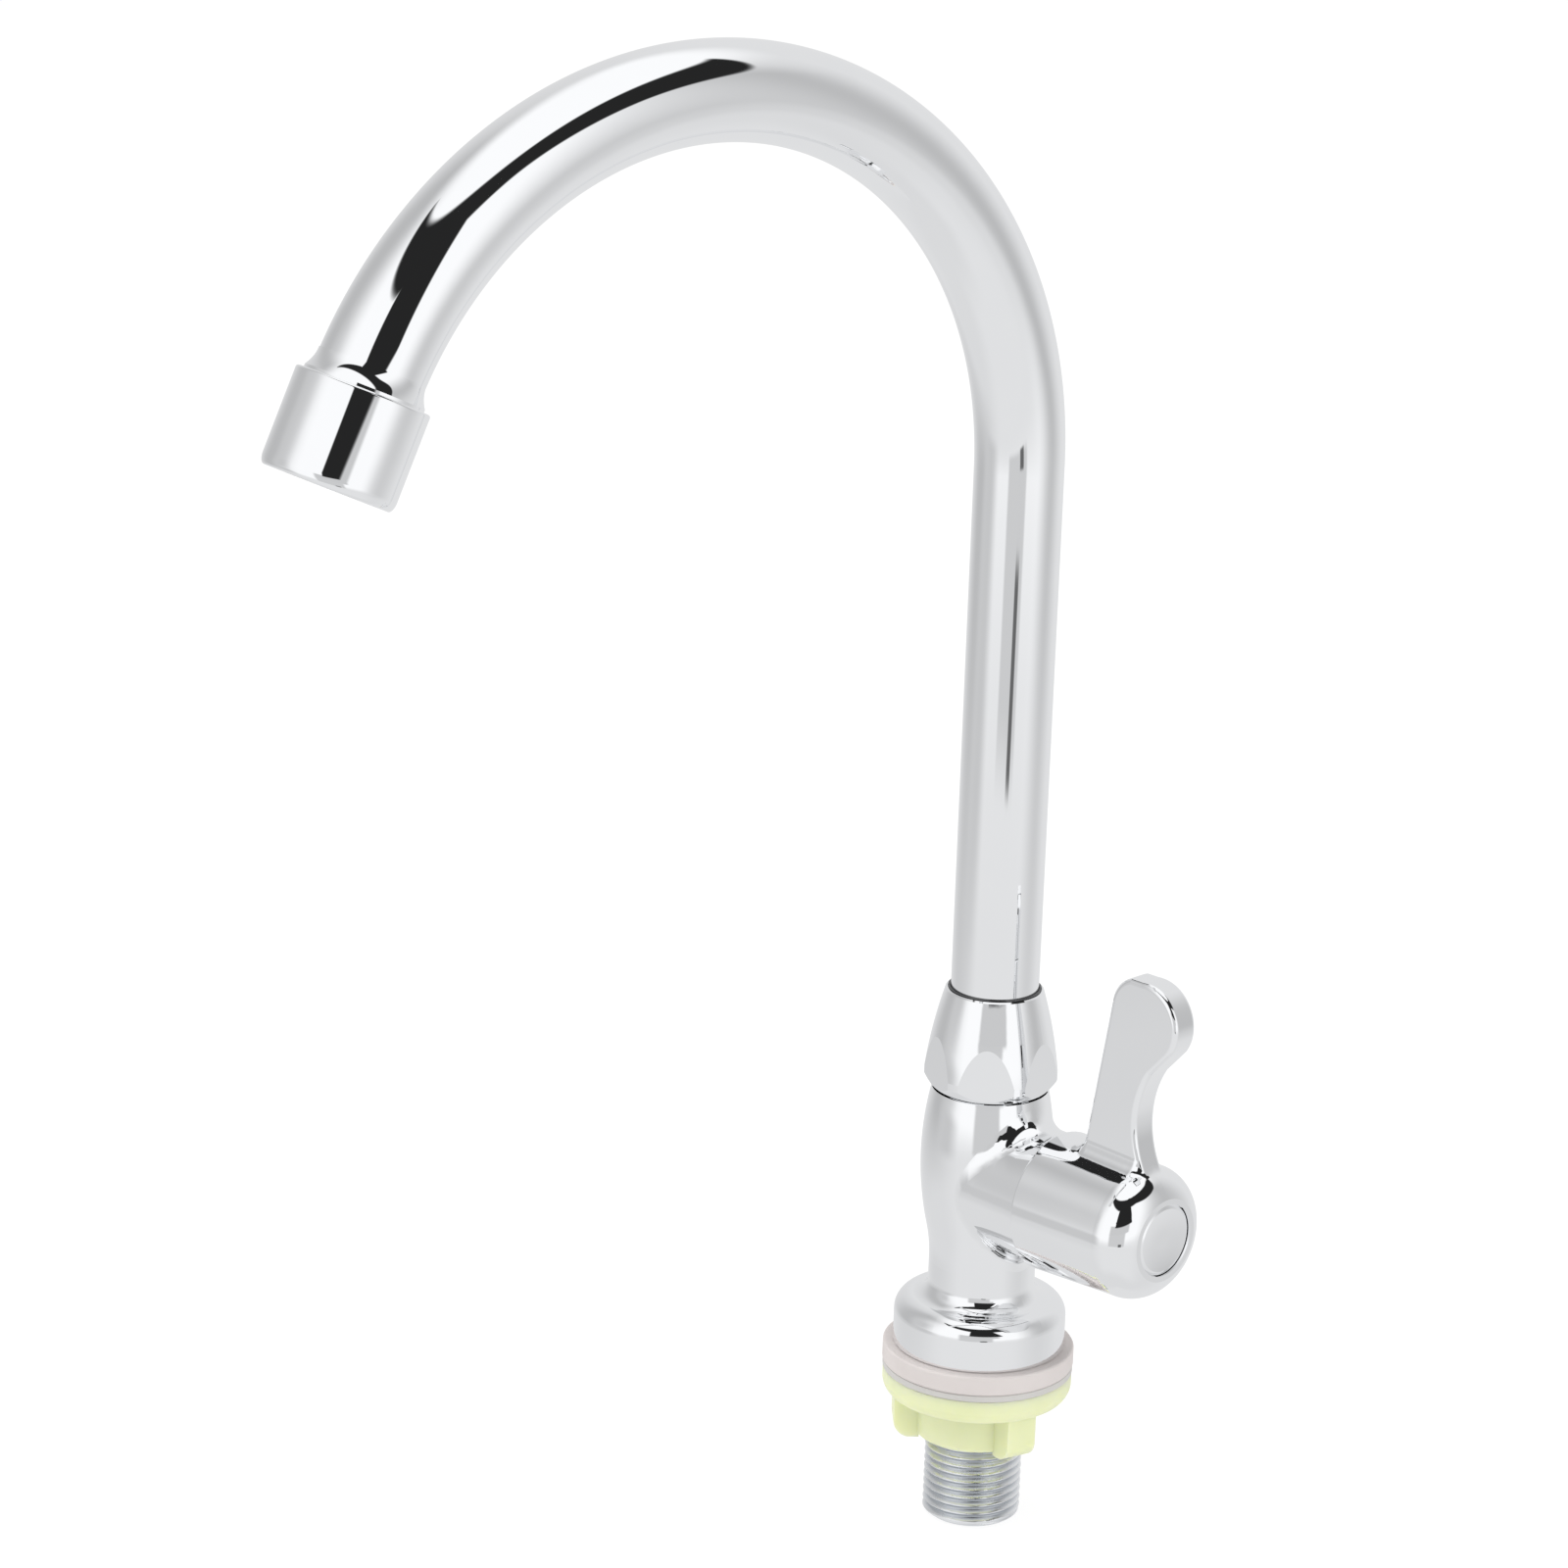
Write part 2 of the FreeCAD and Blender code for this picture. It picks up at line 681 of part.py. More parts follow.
def make_friction_ring():
    """Low friction ring between the spout's flange and the nut's shoulder."""
    body = new_body("spout_friction_ring")
    turn(body, "ring", ring_corners("tube_radius + running_clearance * 2",
                                    "spout_nut_bore - seat_clearance",
                                    "0", "friction_ring_thickness"))
    lift(body, "friction_ring_bottom")


def o_ring_groove(centre, outer, depth, width):
    """The section that a groove takes out of a turned piece."""
    return [
        (f"{outer} - {depth}", f"{centre} - {width} / 2"),
        (f"{outer} + 1", f"{centre} - {width} / 2"),
        (f"{outer} + 1", f"{centre} + {width} / 2"),
        (f"{outer} - {depth}", f"{centre} + {width} / 2"),
    ]


def make_spout_base():
    """Plug on the spout's foot that turns in the body's socket."""
    body = new_body("spout_base")
    spigot = "tube_radius - tube_wall - seat_clearance"
    turn(body, "plug", [
        ("base_bore_radius", "0"),
        ("base_radius", "0"),
        ("base_radius", "base_barrel_length"),
        ("base_flange_radius", "base_barrel_length"),
        ("base_flange_radius", "base_length"),
        (spigot, "base_length"),
        (spigot, "base_length + base_spigot_length"),
        ("base_bore_radius", "base_length + base_spigot_length"),
    ])
    for name in ("lower", "upper"):
        groove = o_ring_groove(f"{name}_o_ring_height", "base_radius",
                               "o_ring_groove_depth", "o_ring_groove_width")
        turn(body, name + "_groove", groove, kind="Groove")
    lift(body, "base_bottom")


def make_o_ring(name, inner, outer, height):
    """A round rubber ring that fills a groove from its floor to the bore around it."""
    ring = doc.addObject("Part::Torus", name)
    ring.Label = name
    bind(ring, Radius1=f"(({inner}) + ({outer})) / 2",
         Radius2=f"(({outer}) - ({inner})) / 2 - seal_clearance")
    lift(ring, height)
    pieces.append(ring)
    return ring


def make_spout_o_rings():
    """Two rings that seal the spout's plug in the body's socket."""
    for name in ("lower", "upper"):
        make_o_ring(f"spout_o_ring_{name}", "base_radius - o_ring_groove_depth",
                    "socket_radius", f"base_bottom + {name}_o_ring_height")


def bend_spine(body):
    """The bend's centre line: an arc and a short straight tail."""
    spine = new_sketch(body, "bend_line", "XZ_Plane")
    start = FreeCAD.Vector(0, value("bend_start_height"), 0)
    end = FreeCAD.Vector(value("bend_end_reach"), value("bend_end_height"), 0)
    centre = FreeCAD.Vector(value("bend_radius"), value("bend_start_height"), 0)
    tail = FreeCAD.Vector(value("bend_end_reach + tube_tail * sin(bend_angle)"),
                          value("bend_end_height + tube_tail * cos(bend_angle)"), 0)
    circle_of_bend = Part.Circle(centre, FreeCAD.Vector(0, 0, 1), value("bend_radius"))
    first = math.pi - math.radians(value("bend_angle"))
    spine.addGeometry(Part.ArcOfCircle(circle_of_bend, first, math.pi))
    spine.addGeometry(Part.LineSegment(end, tail))
    spine.addConstraint(Sketcher.Constraint("Coincident", 0, 1, 1, 1))
    pin_point(spine, 0, 2, "0", "bend_start_height")
    pin_point(spine, 0, 3, "bend_radius", "bend_start_height")
    pin_point(spine, 1, 2, "bend_end_reach + tube_tail * sin(bend_angle)",
              "bend_end_height + tube_tail * cos(bend_angle)")
    index = spine.addConstraint(Sketcher.Constraint("DistanceX", 1, 1, end.x))
    spine.setExpression(f"Constraints[{index}]", bound("bend_end_reach"))
    return spine


def bend_section(body, name, radius, at_end):
    """A circle across the bend's line at its start or at its tail's end."""
    section = new_sketch(body, name, "XY_Plane")
    circle(section, "0", "0", radius)
    if at_end:
        turned = FreeCAD.Rotation(FreeCAD.Vector(0, 1, 0), value("bend_angle"))
        section.AttachmentOffset = FreeCAD.Placement(FreeCAD.Vector(), turned)
        bind(section, AttachmentOffset__Base__x="bend_end_reach + tube_tail * sin(bend_angle)",
             AttachmentOffset__Base__z="bend_end_height + tube_tail * cos(bend_angle)",
             AttachmentOffset__Rotation__Angle="bend_angle")
    else:
        bind(section, AttachmentOffset__Base__z="bend_start_height")
    return section


def sweep_bend(body, name, kind, spine, inset):
    """Sweep a round section along the bend, widening towards the outlet."""
    pipe = body.newObject("PartDesign::" + kind + "Pipe", name)
    pipe.Profile = bend_section(body, name + "_start", f"tube_radius - {inset}", False)
    pipe.Spine = (spine, [])
    pipe.Transformation = "Multisection"
    pipe.Sections = [(bend_section(body, name + "_end", f"tube_end_radius - {inset}", True), [""])]
    return pipe


def make_spout_tube():
    """Drawn tube: a straight leg and a swan-neck bend that widens towards the outlet."""
    body = new_body("spout_tube")
    leg = body.newObject("PartDesign::AdditiveCylinder", "leg")
    attach(leg, body, "XY_Plane")
    bind(leg, Radius="tube_radius", Height="bend_start_height - tube_bottom",
         AttachmentOffset__Base__z="tube_bottom")
    spine = bend_spine(body)
    sweep_bend(body, "bend", "Additive", spine, "0")
    sweep_bend(body, "bend_bore", "Subtractive", spine, "tube_wall")
    drill(body, "leg_bore", "tube_radius - tube_wall", "bend_start_height - tube_bottom",
          start="tube_bottom")
    bind(body, Placement=SPOUT_TURN)


def make_spout_end_fitting():
    """Brass sleeve brazed on the tube's end, with the aerator's thread outside."""
    body = new_body("spout_end_fitting")
    bore = "tube_end_radius + thread_clearance"
    turn(body, "sleeve", [
        (bore, "0"),
        ("fitting_top_radius", "0", "-fitting_cone_hollow"),
        ("fitting_thread_radius", "fitting_cone_length"),
        ("fitting_thread_radius", "fitting_length"),
        ("fitting_lip_radius", "fitting_length"),
        ("fitting_lip_radius", "fitting_cover + tube_tail + seat_clearance"),
        (bore, "fitting_cover + tube_tail + seat_clearance"),
    ])
    place_at_outlet(body)


def make_outlet_gasket():
    """Flat ring that the aerator is screwed up against."""
    body = new_body("outlet_gasket")
    turn(body, "ring", ring_corners("outlet_gasket_bore_radius",
                                    "aerator_bore_radius - seat_clearance",
                                    "gasket_start", "insert_start"))
    place_at_outlet(body)


def make_aerator_insert():
    """Cup with a ring of small holes in its floor that breaks up the flow."""
    body = new_body("aerator_insert")
    wall = "insert_body_radius - insert_wall"
    flange_end = "insert_start + insert_flange_thickness"
    end = "insert_start + insert_length"
    turn(body, "cup", [
        ("0", "insert_start"),
        ("aerator_bore_radius - seat_clearance", "insert_start"),
        ("aerator_bore_radius - seat_clearance", flange_end),
        ("insert_body_radius", flange_end),
        ("insert_body_radius", end),
        (wall, end),
        (wall, flange_end),
        ("0", flange_end),
    ])
    hole = drill(body, "jet", "insert_hole_radius", "insert_flange_thickness",
                 across="insert_hole_circle", start="insert_start")
    repeat_around(body, hole, "jets", "insert_hole_count")
    place_at_outlet(body)


def make_aerator_screens():
    """Two round mesh screens in the cup, held as one group."""
    discs = []
    floor = "insert_start + insert_flange_thickness"
    for name, steps in (("upper_screen", 1), ("lower_screen", 2)):
        disc = doc.addObject("Part::Cylinder", name)
        bind(disc, Radius="insert_body_radius - insert_wall - seat_clearance",
             Height="screen_thickness",
             Placement__Base__z=f"{floor} + {steps} * screen_spacing")
        discs.append(disc)
    group = doc.addObject("Part::Compound", "aerator_screens")
    group.Label = "aerator_screens"
    group.Links = discs
    place_at_outlet(group)
    pieces.append(group)


def make_aerator_grille():
    """Outlet grille: a ring crossed by two sets of thin bars."""
    body = new_body("aerator_grille")
    rim = "aerator_bore_radius - seat_clearance"
    turn(body, "ring", ring_corners("aerator_lip_radius", rim, "grille_start", "aerator_floor"))
    half_span = "(grille_bar_count - 1) * grille_pitch / 2"
    reach = "aerator_lip_radius + seat_clearance"
    bars = box(body, "bar", "Additive",
               (f"-{half_span} - grille_bar_width / 2", f"-({reach})", "grille_start"),
               ("grille_bar_width", f"2 * ({reach})", "grille_height"))
    repeat_along(body, bars, "bars", "grille_bar_count",
                 "(grille_bar_count - 1) * grille_pitch", "X_Axis")
    cross = box(body, "cross_bar", "Additive",
                (f"-({reach})", f"-{half_span} - grille_bar_width / 2", "grille_start"),
                (f"2 * ({reach})", "grille_bar_width", "grille_height"))
    repeat_along(body, cross, "cross_bars", "grille_bar_count",
                 "(grille_bar_count - 1) * grille_pitch", "Y_Axis")
    turn(body, "outer_trim", ring_corners(rim, f"({rim}) * 1.5", "grille_start", "aerator_floor"),
         kind="Groove")
    place_at_outlet(body)


def make_aerator_housing():
    """Plain round sleeve that screws on the spout's end and holds the aerator in."""
    body = new_body("aerator_housing")
    thread_bore = "fitting_thread_radius + thread_clearance"
    thread_end = "aerator_start + aerator_thread_length"
    edge_bow = f"aerator_edge_round * {QUARTER_BOW}"
    turn(body, "sleeve", [
        (thread_bore, "aerator_start"),
        ("aerator_radius - aerator_edge_round", "aerator_start", edge_bow),
        ("aerator_radius", "aerator_start + aerator_edge_round"),
        ("aerator_radius", "aerator_end - aerator_bevel"),
        ("aerator_radius - aerator_bevel / 2", "aerator_end"),
        ("aerator_lip_radius", "aerator_end"),
        ("aerator_lip_radius", "aerator_floor"),
        ("aerator_bore_radius", "aerator_floor"),
        ("aerator_bore_radius", thread_end),
        (thread_bore, thread_end),
    ])
    place_at_outlet(body)


def make_seat_seal():
    """Soft ring that presses on the seat in the body."""
    body = new_body("cartridge_seat_seal")
    turn(body, "ring", [
        ("valve_seat_reach", "seat_seal_bore_radius"),
        ("seal_end", "seat_seal_bore_radius"),
        ("seal_end", "cartridge_bore_radius - seat_clearance"),
        ("valve_seat_reach", "cartridge_bore_radius - seat_clearance"),
    ], "H_Axis")
    lift(body, "valve_axis_height")


def make_disc(name, start, radius):
    """Ceramic disc with two opposite sector windows."""
    body = new_body(name)
    turn(body, "disc", [
        (start, "0"),
        (f"{start} + disc_thickness", "0"),
        (f"{start} + disc_thickness", radius),
        (start, radius),
    ], "H_Axis")
    sketch = new_sketch(body, "window_outline", "YZ_Plane")
    half = "disc_window_angle / 2"
    outline(sketch, [
        (f"-disc_hub_radius * sin({half})", f"disc_hub_radius * cos({half})",
         f"-disc_hub_radius * (1 - cos({half}))"),
        (f"disc_hub_radius * sin({half})", f"disc_hub_radius * cos({half})"),
        (f"disc_window_radius * sin({half})", f"disc_window_radius * cos({half})",
         f"disc_window_radius * (1 - cos({half}))"),
        (f"-disc_window_radius * sin({half})", f"disc_window_radius * cos({half})"),
    ])
    bind(sketch, AttachmentOffset__Base__z=start)
    window = body.newObject("PartDesign::Pocket", "window")
    window.Profile = sketch
    window.Reversed = True
    bind(window, Length="disc_thickness")
    repeat_around(body, window, "windows", "2", "X_Axis")
    lift(body, "valve_axis_height")


def make_cartridge_housing():
    """Brass headwork: a sleeve with side windows, a hexagon and a gland neck."""
    body = new_body("cartridge_housing")
    bore = "cartridge_bore_radius"
    shaft = "spindle_bore_radius"
    thread = "valve_thread_radius - thread_clearance"
    turn(body, "headwork", [
        ("cartridge_start", bore),
        ("shaft_bore_start", bore),
        ("shaft_bore_start", shaft),
        ("cartridge_end", shaft),
        ("cartridge_end", "cartridge_neck_radius"),
        ("cartridge_neck_start", "cartridge_neck_radius"),
        ("cartridge_neck_start", "cartridge_hex_corner_radius"),
        ("cartridge_hex_start", "cartridge_hex_corner_radius"),
        ("cartridge_hex_start", "cartridge_flange_radius"),
        ("branch_reach", "cartridge_flange_radius"),
        ("branch_reach", thread),
        ("valve_thread_start + thread_clearance", thread),
        ("valve_thread_start + thread_clearance", "cartridge_radius"),
        ("cartridge_ring_start + cartridge_ring_width", "cartridge_radius"),
        ("cartridge_ring_start + cartridge_ring_width",
         "cartridge_radius - cartridge_ring_depth"),
        ("cartridge_ring_start", "cartridge_radius - cartridge_ring_depth"),
        ("cartridge_ring_start", "cartridge_radius"),
        ("cartridge_start", "cartridge_radius"),
    ][::-1], "H_Axis")
    side = box(body, "hexagon_side", "Subtractive",
               ("-cartridge_flange_radius", "cartridge_hex_distance", "cartridge_hex_start"),
               ("cartridge_flange_radius * 2", "cartridge_flange_radius",
                "cartridge_hex_length"), role="YZ_Plane")
    repeat_around(body, side, "hexagon", "6", "X_Axis")
    window = box(body, "side_window", "Subtractive",
                 ("-cartridge_window_width / 2", "0", "cartridge_window_start"),
                 ("cartridge_window_width", "cartridge_radius + 1",
                  "cartridge_window_length"), role="YZ_Plane")
    repeat_around(body, window, "side_windows", "2", "X_Axis")
    lift(body, "valve_axis_height")


def make_cartridge_o_ring():
    """Ring that keeps the water off the headwork's thread."""
    ring = make_o_ring("cartridge_o_ring", "cartridge_radius - cartridge_ring_depth",
                       "valve_chamber_radius", "valve_axis_height")
    turned = FreeCAD.Rotation(FreeCAD.Vector(0, 1, 0), 90)
    ring.Placement = FreeCAD.Placement(ring.Placement.Base, turned)
    bind(ring, Placement__Base__x="cartridge_ring_start + cartridge_ring_width / 2")


def make_spindle():
    """Valve stem: driver, two ring grooves, circlip groove, splines and a screw hole."""
    body = new_body("cartridge_spindle")
    clip_floor = "spindle_radius - circlip_depth"
    turn(body, "stem", [
        ("driver_start", "0"),
        ("spindle_end", "0"),
        ("spindle_end", "spline_radius"),
        ("spline_start", "spline_radius"),
        ("spline_start", "spindle_radius"),
        ("circlip_end + disc_gap", "spindle_radius"),
        ("circlip_end + disc_gap", clip_floor),
        ("circlip_start - disc_gap", clip_floor),
        ("circlip_start - disc_gap", "spindle_radius"),
        ("driver_end", "spindle_radius"),
        ("driver_end", "cartridge_bore_radius - running_clearance"),
        ("driver_start", "cartridge_bore_radius - running_clearance"),
    ], "H_Axis")
    for name in ("first", "second"):
        groove = o_ring_groove(f"spindle_ring_{name}", "spindle_radius",
                               "spindle_ring_depth", "spindle_ring_width")
        turn(body, name + "_groove", [corner[::-1] for corner in groove][::-1],
             "H_Axis", "Groove")
    water_way = box(body, "driver_slot", "Subtractive",
                    ("disc_hub_radius", "disc_hub_radius", "driver_start"),
                    ("disc_radius", "disc_radius", "driver_thickness"), role="YZ_Plane")
    repeat_around(body, water_way, "driver_slots", "2", "X_Axis")
    cut_splines(body, "spline_radius", "spline_start", "spindle_end - spline_start")
    drill(body, "screw_hole", "screw_hole_radius", "screw_hole_depth", "YZ_Plane",
          start="spindle_end - screw_hole_depth")
    lift(body, "valve_axis_height")


def cut_splines(body, radius, start, length):
    """Cut V grooves along the stem's end, evenly round it."""
    sketch = new_sketch(body, "spline_outline", "YZ_Plane")
    pitch = f"({radius}) * sin(180 / spline_count)"
    outline(sketch, [
        ("0", f"{radius} - spline_depth"),
        (f"{pitch} * 0.8", f"{radius} + spline_depth"),
        (f"-{pitch} * 0.8", f"{radius} + spline_depth"),
    ])
    bind(sketch, AttachmentOffset__Base__z=start)
    cut = body.newObject("PartDesign::Pocket", "spline")
    cut.Profile = sketch
    cut.Reversed = True
    bind(cut, Length=length)
    repeat_around(body, cut, "splines", "spline_count", "X_Axis")


def make_spindle_o_rings():
    """Two rings on the stem, held as one group."""
    rings = []
    for name in ("first", "second"):
        ring = doc.addObject("Part::Torus", f"{name}_stem_ring")
        ring.Placement = FreeCAD.Placement(
            FreeCAD.Vector(), FreeCAD.Rotation(FreeCAD.Vector(0, 1, 0), 90))
        inner, outer = "spindle_radius - spindle_ring_depth", "spindle_bore_radius"
        bind(ring, Radius1=f"(({inner}) + ({outer})) / 2",
             Radius2=f"(({outer}) - ({inner})) / 2 - seal_clearance",
             Placement__Base__x=f"spindle_ring_{name}",
             Placement__Base__z="valve_axis_height")
        rings.append(ring)
    group = doc.addObject("Part::Compound", "spindle_o_rings")
    group.Label = "spindle_o_rings"
    group.Links = rings
    pieces.append(group)


def make_circlip():
    """Open spring ring that keeps the stem in the headwork."""
    body = new_body("spindle_circlip")
    turn(body, "ring", [
        ("circlip_start", "spindle_radius - circlip_depth + seat_clearance"),
        ("circlip_end", "spindle_radius - circlip_depth + seat_clearance"),
        ("circlip_end", "circlip_radius"),
        ("circlip_start", "circlip_radius"),
    ], "H_Axis")
    box(body, "mouth", "Subtractive",
        ("-circlip_gap / 2", "0", "circlip_start"),
        ("circlip_gap", "circlip_radius + 1", "circlip_thickness"), role="YZ_Plane")
    lift(body, "valve_axis_height")


def make_handle():
    """Barrel over the headwork with an upright flat lever on it, in one casting."""
    body = new_body("handle_lever")
    base = "valve_axis_height"
    extrude(body, "lever", [
        ("lever_heel_reach", f"lever_foot_height - {base}"),
        ("lever_toe_reach", f"lever_foot_height - {base}"),
        ("lever_toe_reach", f"lever_toe_height - {base}", "-lever_throat_hollow"),
        ("lever_throat_reach", f"lever_throat_height - {base}"),
        ("lever_chin_reach", f"lever_chin_height - {base}", "lever_head_bulge"),
        ("lever_crown_reach", f"lever_top_height - {base}"),
        ("lever_brow_reach", f"lever_top_height - {base}", "lever_brow_bulge"),
        ("lever_back_reach", f"lever_back_height - {base}"),
    ], "lever_thickness")
    round_edges(body, "lever_rounding", "lever_edge_round", is_face_border)
    turn(body, "barrel", [
        ("barrel_start", "0"),
        ("barrel_end_reach", "0"),
        ("barrel_end_reach", "barrel_end_radius", "barrel_dome_bulge"),
        ("barrel_end_reach - barrel_dome_length", "barrel_radius"),
        ("barrel_start + barrel_rim_round", "barrel_rim_radius",
         f"barrel_rim_round * {QUARTER_BOW}"),
        ("barrel_start", "barrel_rim_radius - barrel_rim_round"),
    ], "H_Axis")
    round_edges(body, "lever_foot_rounding", "lever_foot_fillet", is_lever_foot)
    turn(body, "barrel_hollow", [
        ("barrel_start", "0"),
        ("barrel_end_reach", "0"),
        ("barrel_end_reach", "cap_seat_radius"),
        ("cap_seat_start", "cap_seat_radius"),
        ("cap_seat_start", "screw_pocket_radius"),
        ("barrel_web_end", "screw_pocket_radius"),
        ("barrel_web_end", "spline_radius + seat_clearance"),
        ("barrel_web_start", "spline_radius + seat_clearance"),
        ("barrel_web_start", "barrel_cavity_radius"),
        ("barrel_start", "barrel_cavity_radius"),
    ], "H_Axis", "Groove")
    lift(body, "valve_axis_height")


def is_face_border(edge):
    """True on the long edges round the lever's two broad faces, above its foot."""
    slack = value("lever_edge_round") / 50
    above_foot = edge.BoundBox.ZMax > value("lever_foot_height - valve_axis_height") + slack
    return edge.BoundBox.YLength < slack and above_foot


def is_lever_foot(edge):
    """True on the curves where the lever meets the top of the barrel."""
    middle = edge.valueAt((edge.FirstParameter + edge.LastParameter) / 2)
    from_axis = math.hypot(middle.y, middle.z)
    on_lever = abs(middle.y) < value("lever_thickness") / 2 + 0.01
    on_barrel = value("barrel_end_radius") < from_axis < value("barrel_rim_radius")
    along_barrel = edge.Curve.TypeId in ("Part::GeomLine", "Part::GeomCircle")
    return on_lever and on_barrel and middle.z > 0 and not along_barrel


def make_handle_screw():
    """Pan head screw that holds the handle on the stem."""
    body = new_body("handle_screw")
    head_end = "barrel_web_end + screw_head_height"
    turn(body, "screw", [
        ("barrel_web_end - screw_length", "0"),
        (head_end, "0"),
        (head_end, "screw_slot_width", "screw_head_height / 8"),
        ("barrel_web_end + screw_head_height / 2", "screw_head_radius"),
        ("barrel_web_end", "screw_head_radius"),
        ("barrel_web_end", "screw_radius"),
        ("barrel_web_end - screw_length", "screw_radius"),
    ], "H_Axis")
    slot = box(body, "slot", "Subtractive",
               ("-screw_slot_width / 2", "-screw_head_radius * 0.6",
                f"{head_end} - screw_slot_depth"),
               ("screw_slot_width", "screw_head_radius * 1.2", "screw_head_height"),
               role="YZ_Plane")
    repeat_around(body, slot, "cross_slot", "4", "X_Axis")
    lift(body, "valve_axis_height")


def make_handle_cap():
    """Dished cover with a clip skirt that hides the screw."""
    body = new_body("handle_cap")
    front = "cap_seat_start + cap_thickness"
    skirt_bore = "cap_skirt_radius - cap_skirt_wall"
    turn(body, "cover", [
        ("cap_seat_start", "0"),
        (f"{front} - cap_dish", "0"),
        (f"{front} - cap_dish", "cap_dish_flat", "-cap_dish / 4"),
        (front, "cap_radius - cap_edge_round * 2"),
        (f"{front} - cap_edge_round", "cap_radius"),
        ("cap_seat_start", "cap_radius"),
        ("cap_seat_start", "cap_skirt_radius"),
        ("cap_seat_start - cap_skirt_length", "cap_skirt_radius"),
        ("cap_seat_start - cap_skirt_length", skirt_bore),
        ("cap_seat_start", skirt_bore),
    ], "H_Axis")
    lift(body, "valve_axis_height")


def check_document():
    """Stop with the names of whatever failed to build."""
    doc.recompute()
    bad = [o.Name for o in doc.Objects if "Invalid" in o.State or "Error" in o.State]
    for piece in pieces:
        if piece.Shape.isNull() or not piece.Shape.isValid() or not piece.Shape.Solids:
            bad.append(piece.Label)
    bad += [p.Label for p in pieces if p.TypeId == "PartDesign::Body" and len(p.Shape.Solids) != 1]
    if bad:
        raise RuntimeError("these did not build: " + ", ".join(bad))


def write_steps():
    """Write one file per piece, named by its label."""
    os.makedirs("parts", exist_ok=True)
    for piece in pieces:
        piece.Shape.exportStep(os.path.join("parts", piece.Label + ".step"))


def main():
    fill_sheet()
    make_tap_body()
    make_threaded_shank()
    make_tail_seal()
    make_rubber_washer()
    make_plastic_washer()
    make_backnut()
    make_spout_nut()
    make_slip_ring()
    make_friction_ring()
    make_spout_base()
    make_spout_o_rings()
    make_spout_tube()
    make_spout_end_fitting()
    make_outlet_gasket()
    make_aerator_insert()
    make_aerator_screens()
    make_aerator_grille()
    make_aerator_housing()
    make_seat_seal()
    make_disc("ceramic_disc_fixed", "fixed_disc_start", "disc_radius")
    make_disc("ceramic_disc_moving", "moving_disc_start", "disc_radius - seat_clearance")
    make_cartridge_housing()
    make_cartridge_o_ring()
    make_spindle()
    make_spindle_o_rings()
    make_circlip()
    make_handle()
    make_handle_screw()
    make_handle_cap()
    check_document()
    write_steps()


main()
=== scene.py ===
import json
import math

import bmesh
import bpy
from mathutils import Matrix, Vector


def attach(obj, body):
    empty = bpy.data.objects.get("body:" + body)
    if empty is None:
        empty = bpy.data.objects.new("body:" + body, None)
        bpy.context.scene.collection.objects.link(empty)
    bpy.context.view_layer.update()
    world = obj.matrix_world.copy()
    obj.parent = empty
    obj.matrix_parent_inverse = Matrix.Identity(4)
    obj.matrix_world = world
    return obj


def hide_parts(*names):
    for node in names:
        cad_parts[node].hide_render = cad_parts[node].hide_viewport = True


# Kitchen tap with a side lever, a swivelling swan-neck spout and a threaded tail.
# Lengths of the tap are written in millimetres and turned into metres by MM.

MM = 0.001
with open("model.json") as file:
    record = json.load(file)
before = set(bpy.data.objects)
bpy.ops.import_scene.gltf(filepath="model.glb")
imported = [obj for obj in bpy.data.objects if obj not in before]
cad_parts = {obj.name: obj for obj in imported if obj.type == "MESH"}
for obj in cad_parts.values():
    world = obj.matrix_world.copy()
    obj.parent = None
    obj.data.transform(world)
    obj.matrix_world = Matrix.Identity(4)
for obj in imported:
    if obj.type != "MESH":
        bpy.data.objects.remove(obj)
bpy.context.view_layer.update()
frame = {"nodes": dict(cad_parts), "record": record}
nodes = frame["nodes"]

# Threaded tail, from the foot's underside at height 0 down to its free end.
SHANK_RADIUS = 10.4775
SHANK_LENGTH = 39.5
SHANK_BORE = 6.0
SPIGOT_RADIUS = 9.0
SPIGOT_LENGTH = 10.9
SHANK_CHAMFER = 1.35
SHANK_CHAMFER_HEIGHT = 1.0
THREAD_PITCH = 1.814
THREAD_DEPTH = 0.86
THREAD_FLANK = 0.75
THREAD_FREE_FROM = -SHANK_LENGTH + 0.6
THREAD_FREE_TO = -1.5
THREAD_LEAD_IN = 1.2
THREAD_RUN_OUT = 2.0
THREAD_ROWS_IN_A_TURN = 16
THREAD_AROUND = 128

# Spout tube: a straight leg, then a bend along which it widens.
TUBE_BOTTOM = 71.6
TUBE_RADIUS = 9.3
TUBE_END_RADIUS = 10.6
TUBE_WALL = 1.0
TUBE_TAIL = 5.0
TUBE_INSET = 0.025
BEND_START = 193.1
BEND_RADIUS = 84.7
BEND_ANGLE = math.radians(155.0)
SPOUT_YAW = math.radians(-90.0 - 7.2)
SPOUT_AROUND = 144
BEND_STEPS = 186

